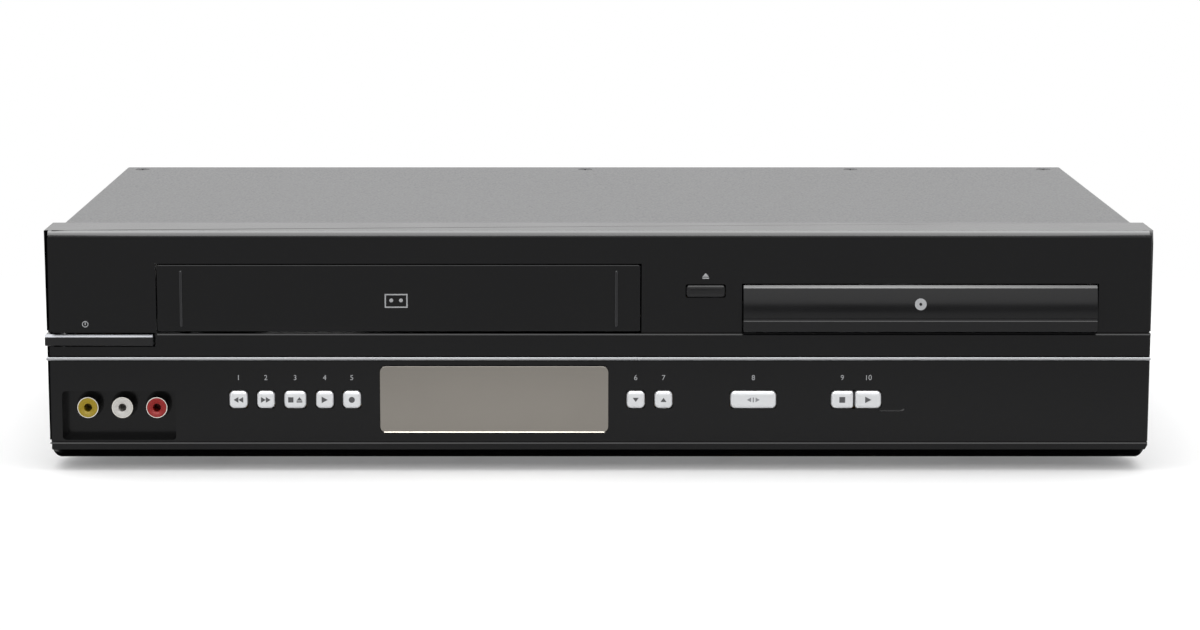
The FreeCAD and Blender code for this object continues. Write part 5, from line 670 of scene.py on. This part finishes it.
for row, names in enumerate((("red", "white", "yellow", "red", "white"),
                             ("green", "blue", "red", "white", "yellow"))):
    for column, name in enumerate(names):
        turned("socket_rim_%d_%d" % (row, column), rim, (first_x + column_pitch * column) * MM,
               (first_z + row_pitch * row) * MM, "cabinet", signal_colours[name])

# Floor, backdrop and light: a pale floor that keeps the shadow near the object and turns to
# plain white further off, in a white sky that is dim behind the camera, as in a studio. A
# wide soft lamp hangs overhead and a second one above the camera; a bright card, which only
# reflections show, picks out the rounded edges.
floor = bmesh.new()
bmesh.ops.create_grid(floor, x_segments=1, y_segments=1, size=30.0)
floor_mesh = bpy.data.meshes.new("floor")
floor.to_mesh(floor_mesh)
floor.free()
pale, tree, place = new_tree("pale_studio_floor")
soft = put(tree, "TexNoise", sockets={"Scale": 2.0}, links={"Vector": place})
tone = put(tree, "Mix", {"data_type": "RGBA"}, {6: shade("#fafafa"), 7: shade("#f8f8f8")},
           {0: soft.outputs["Fac"]})
paper = put(tree, "BsdfPrincipled", sockets={"Roughness": 0.9, "Specular IOR Level": 0.0},
            links={"Base Color": tone.outputs[2]})
glow = put(tree, "Emission", sockets={"Color": (1, 1, 1, 1), "Strength": 1.0})
seen = put(tree, "LightPath")


def any_of(tree, path, *names):
    """1 for a ray of any of these kinds."""
    total = path.outputs[names[0]]
    for name in names[1:]:
        larger = put(tree, "Math", {"operation": "MAXIMUM"},
                     links={0: total, 1: path.outputs[name]})
        total = larger.outputs["Value"]
    return total


fade_start, fade_end, near_glow = 0.34, 0.75, 0.15
spot = put(tree, "VectorMath", {"operation": "MULTIPLY"}, {1: (1.0, 1.6, 1.0)}, {0: place})
away = put(tree, "VectorMath", {"operation": "LENGTH"}, links={0: spot.outputs["Vector"]})
far = put(tree, "MapRange", {"interpolation_type": "SMOOTHSTEP"},
          {"From Min": fade_start, "From Max": fade_end, "To Min": near_glow},
          {"Value": away.outputs["Value"]})
share = put(tree, "Math", {"operation": "MULTIPLY"}, links={
    0: far.outputs["Result"],
    1: any_of(tree, seen, "Is Camera Ray", "Is Glossy Ray", "Is Transmission Ray")})
both = put(tree, "MixShader", links={0: share.outputs["Value"], 1: paper.outputs["BSDF"],
                                     2: glow.outputs["Emission"]})
put(tree, "OutputMaterial", links={"Surface": both.outputs["Shader"]})
floor_mesh.materials.append(pale)
ground = bpy.data.objects.new("floor", floor_mesh)
bpy.context.scene.collection.objects.link(ground)

world = bpy.data.worlds.new("studio_sky")
world.use_nodes = True
bpy.context.scene.world = world
tree = world.node_tree
tree.nodes.clear()
way = put(tree, "SeparateXYZ", links={"Vector": put(tree, "TexCoord").outputs["Generated"]})
front = put(tree, "MapRange", {"interpolation_type": "SMOOTHSTEP"},
            {"From Min": -0.3, "From Max": -0.8}, {"Value": way.outputs["Y"]})
rise = put(tree, "MapRange", sockets={"To Min": 0.3, "To Max": 0.8},
           links={"Value": way.outputs["Z"]})
level = put(tree, "Mix", {"data_type": "FLOAT"}, {2: 1.0},
            {0: front.outputs["Result"], 3: rise.outputs["Result"]})
direct = put(tree, "LightPath")
white = put(tree, "Mix", {"data_type": "FLOAT"}, {3: 1.0},
            {0: direct.outputs["Is Camera Ray"], 2: level.outputs[0]})
sky = put(tree, "Background", sockets={"Color": (1, 1, 1, 1)},
          links={"Strength": white.outputs[0]})
put(tree, "OutputWorld", links={"Surface": sky.outputs["Background"]})


def softbox(name, wide, deep, level, place, tilt, lights=True):
    """A soft lamp, or a card that only reflections show; a level of 1 is white."""
    lamp = bpy.data.lights.new(name, "AREA")
    lamp.shape = "RECTANGLE"
    lamp.size, lamp.size_y = wide, deep
    lamp.energy = level * wide * deep * math.pi
    hung = bpy.data.objects.new(name, lamp)
    hung.location = place
    hung.rotation_euler = (math.radians(tilt), 0, 0)
    hung.visible_diffuse = lights
    hung.visible_camera = False
    bpy.context.scene.collection.objects.link(hung)


softbox("overhead_softbox", 2.2, 0.8, 2.4, (0.0, 0.0, 1.5), 0)
softbox("camera_softbox", 4.0, 1.0, 1.5, (0.0, -2.2, 0.85), 70)
softbox("reflector_card", 2.8, 3.7, 5.0, (0.0, -0.25, 1.45), 0, False)

bpy.context.scene.view_settings.view_transform = "Standard"

# Camera: 1.3 m in front of the bezel and 0.2 m above it, looking down by 8.8 degrees through
# a long lens that is shifted a little to the side.
look_down = 8.84
eye = bpy.data.cameras.new("camera")
eye.sensor_width = 36.0
eye.lens = 102.2
eye.shift_x = 0.029
stand = bpy.data.objects.new("camera", eye)
stand.location = (-0.0131, -1.4428, 0.268)
stand.rotation_euler = (math.radians(90 - look_down), 0, 0)
bpy.context.scene.collection.objects.link(stand)
bpy.context.scene.camera = stand
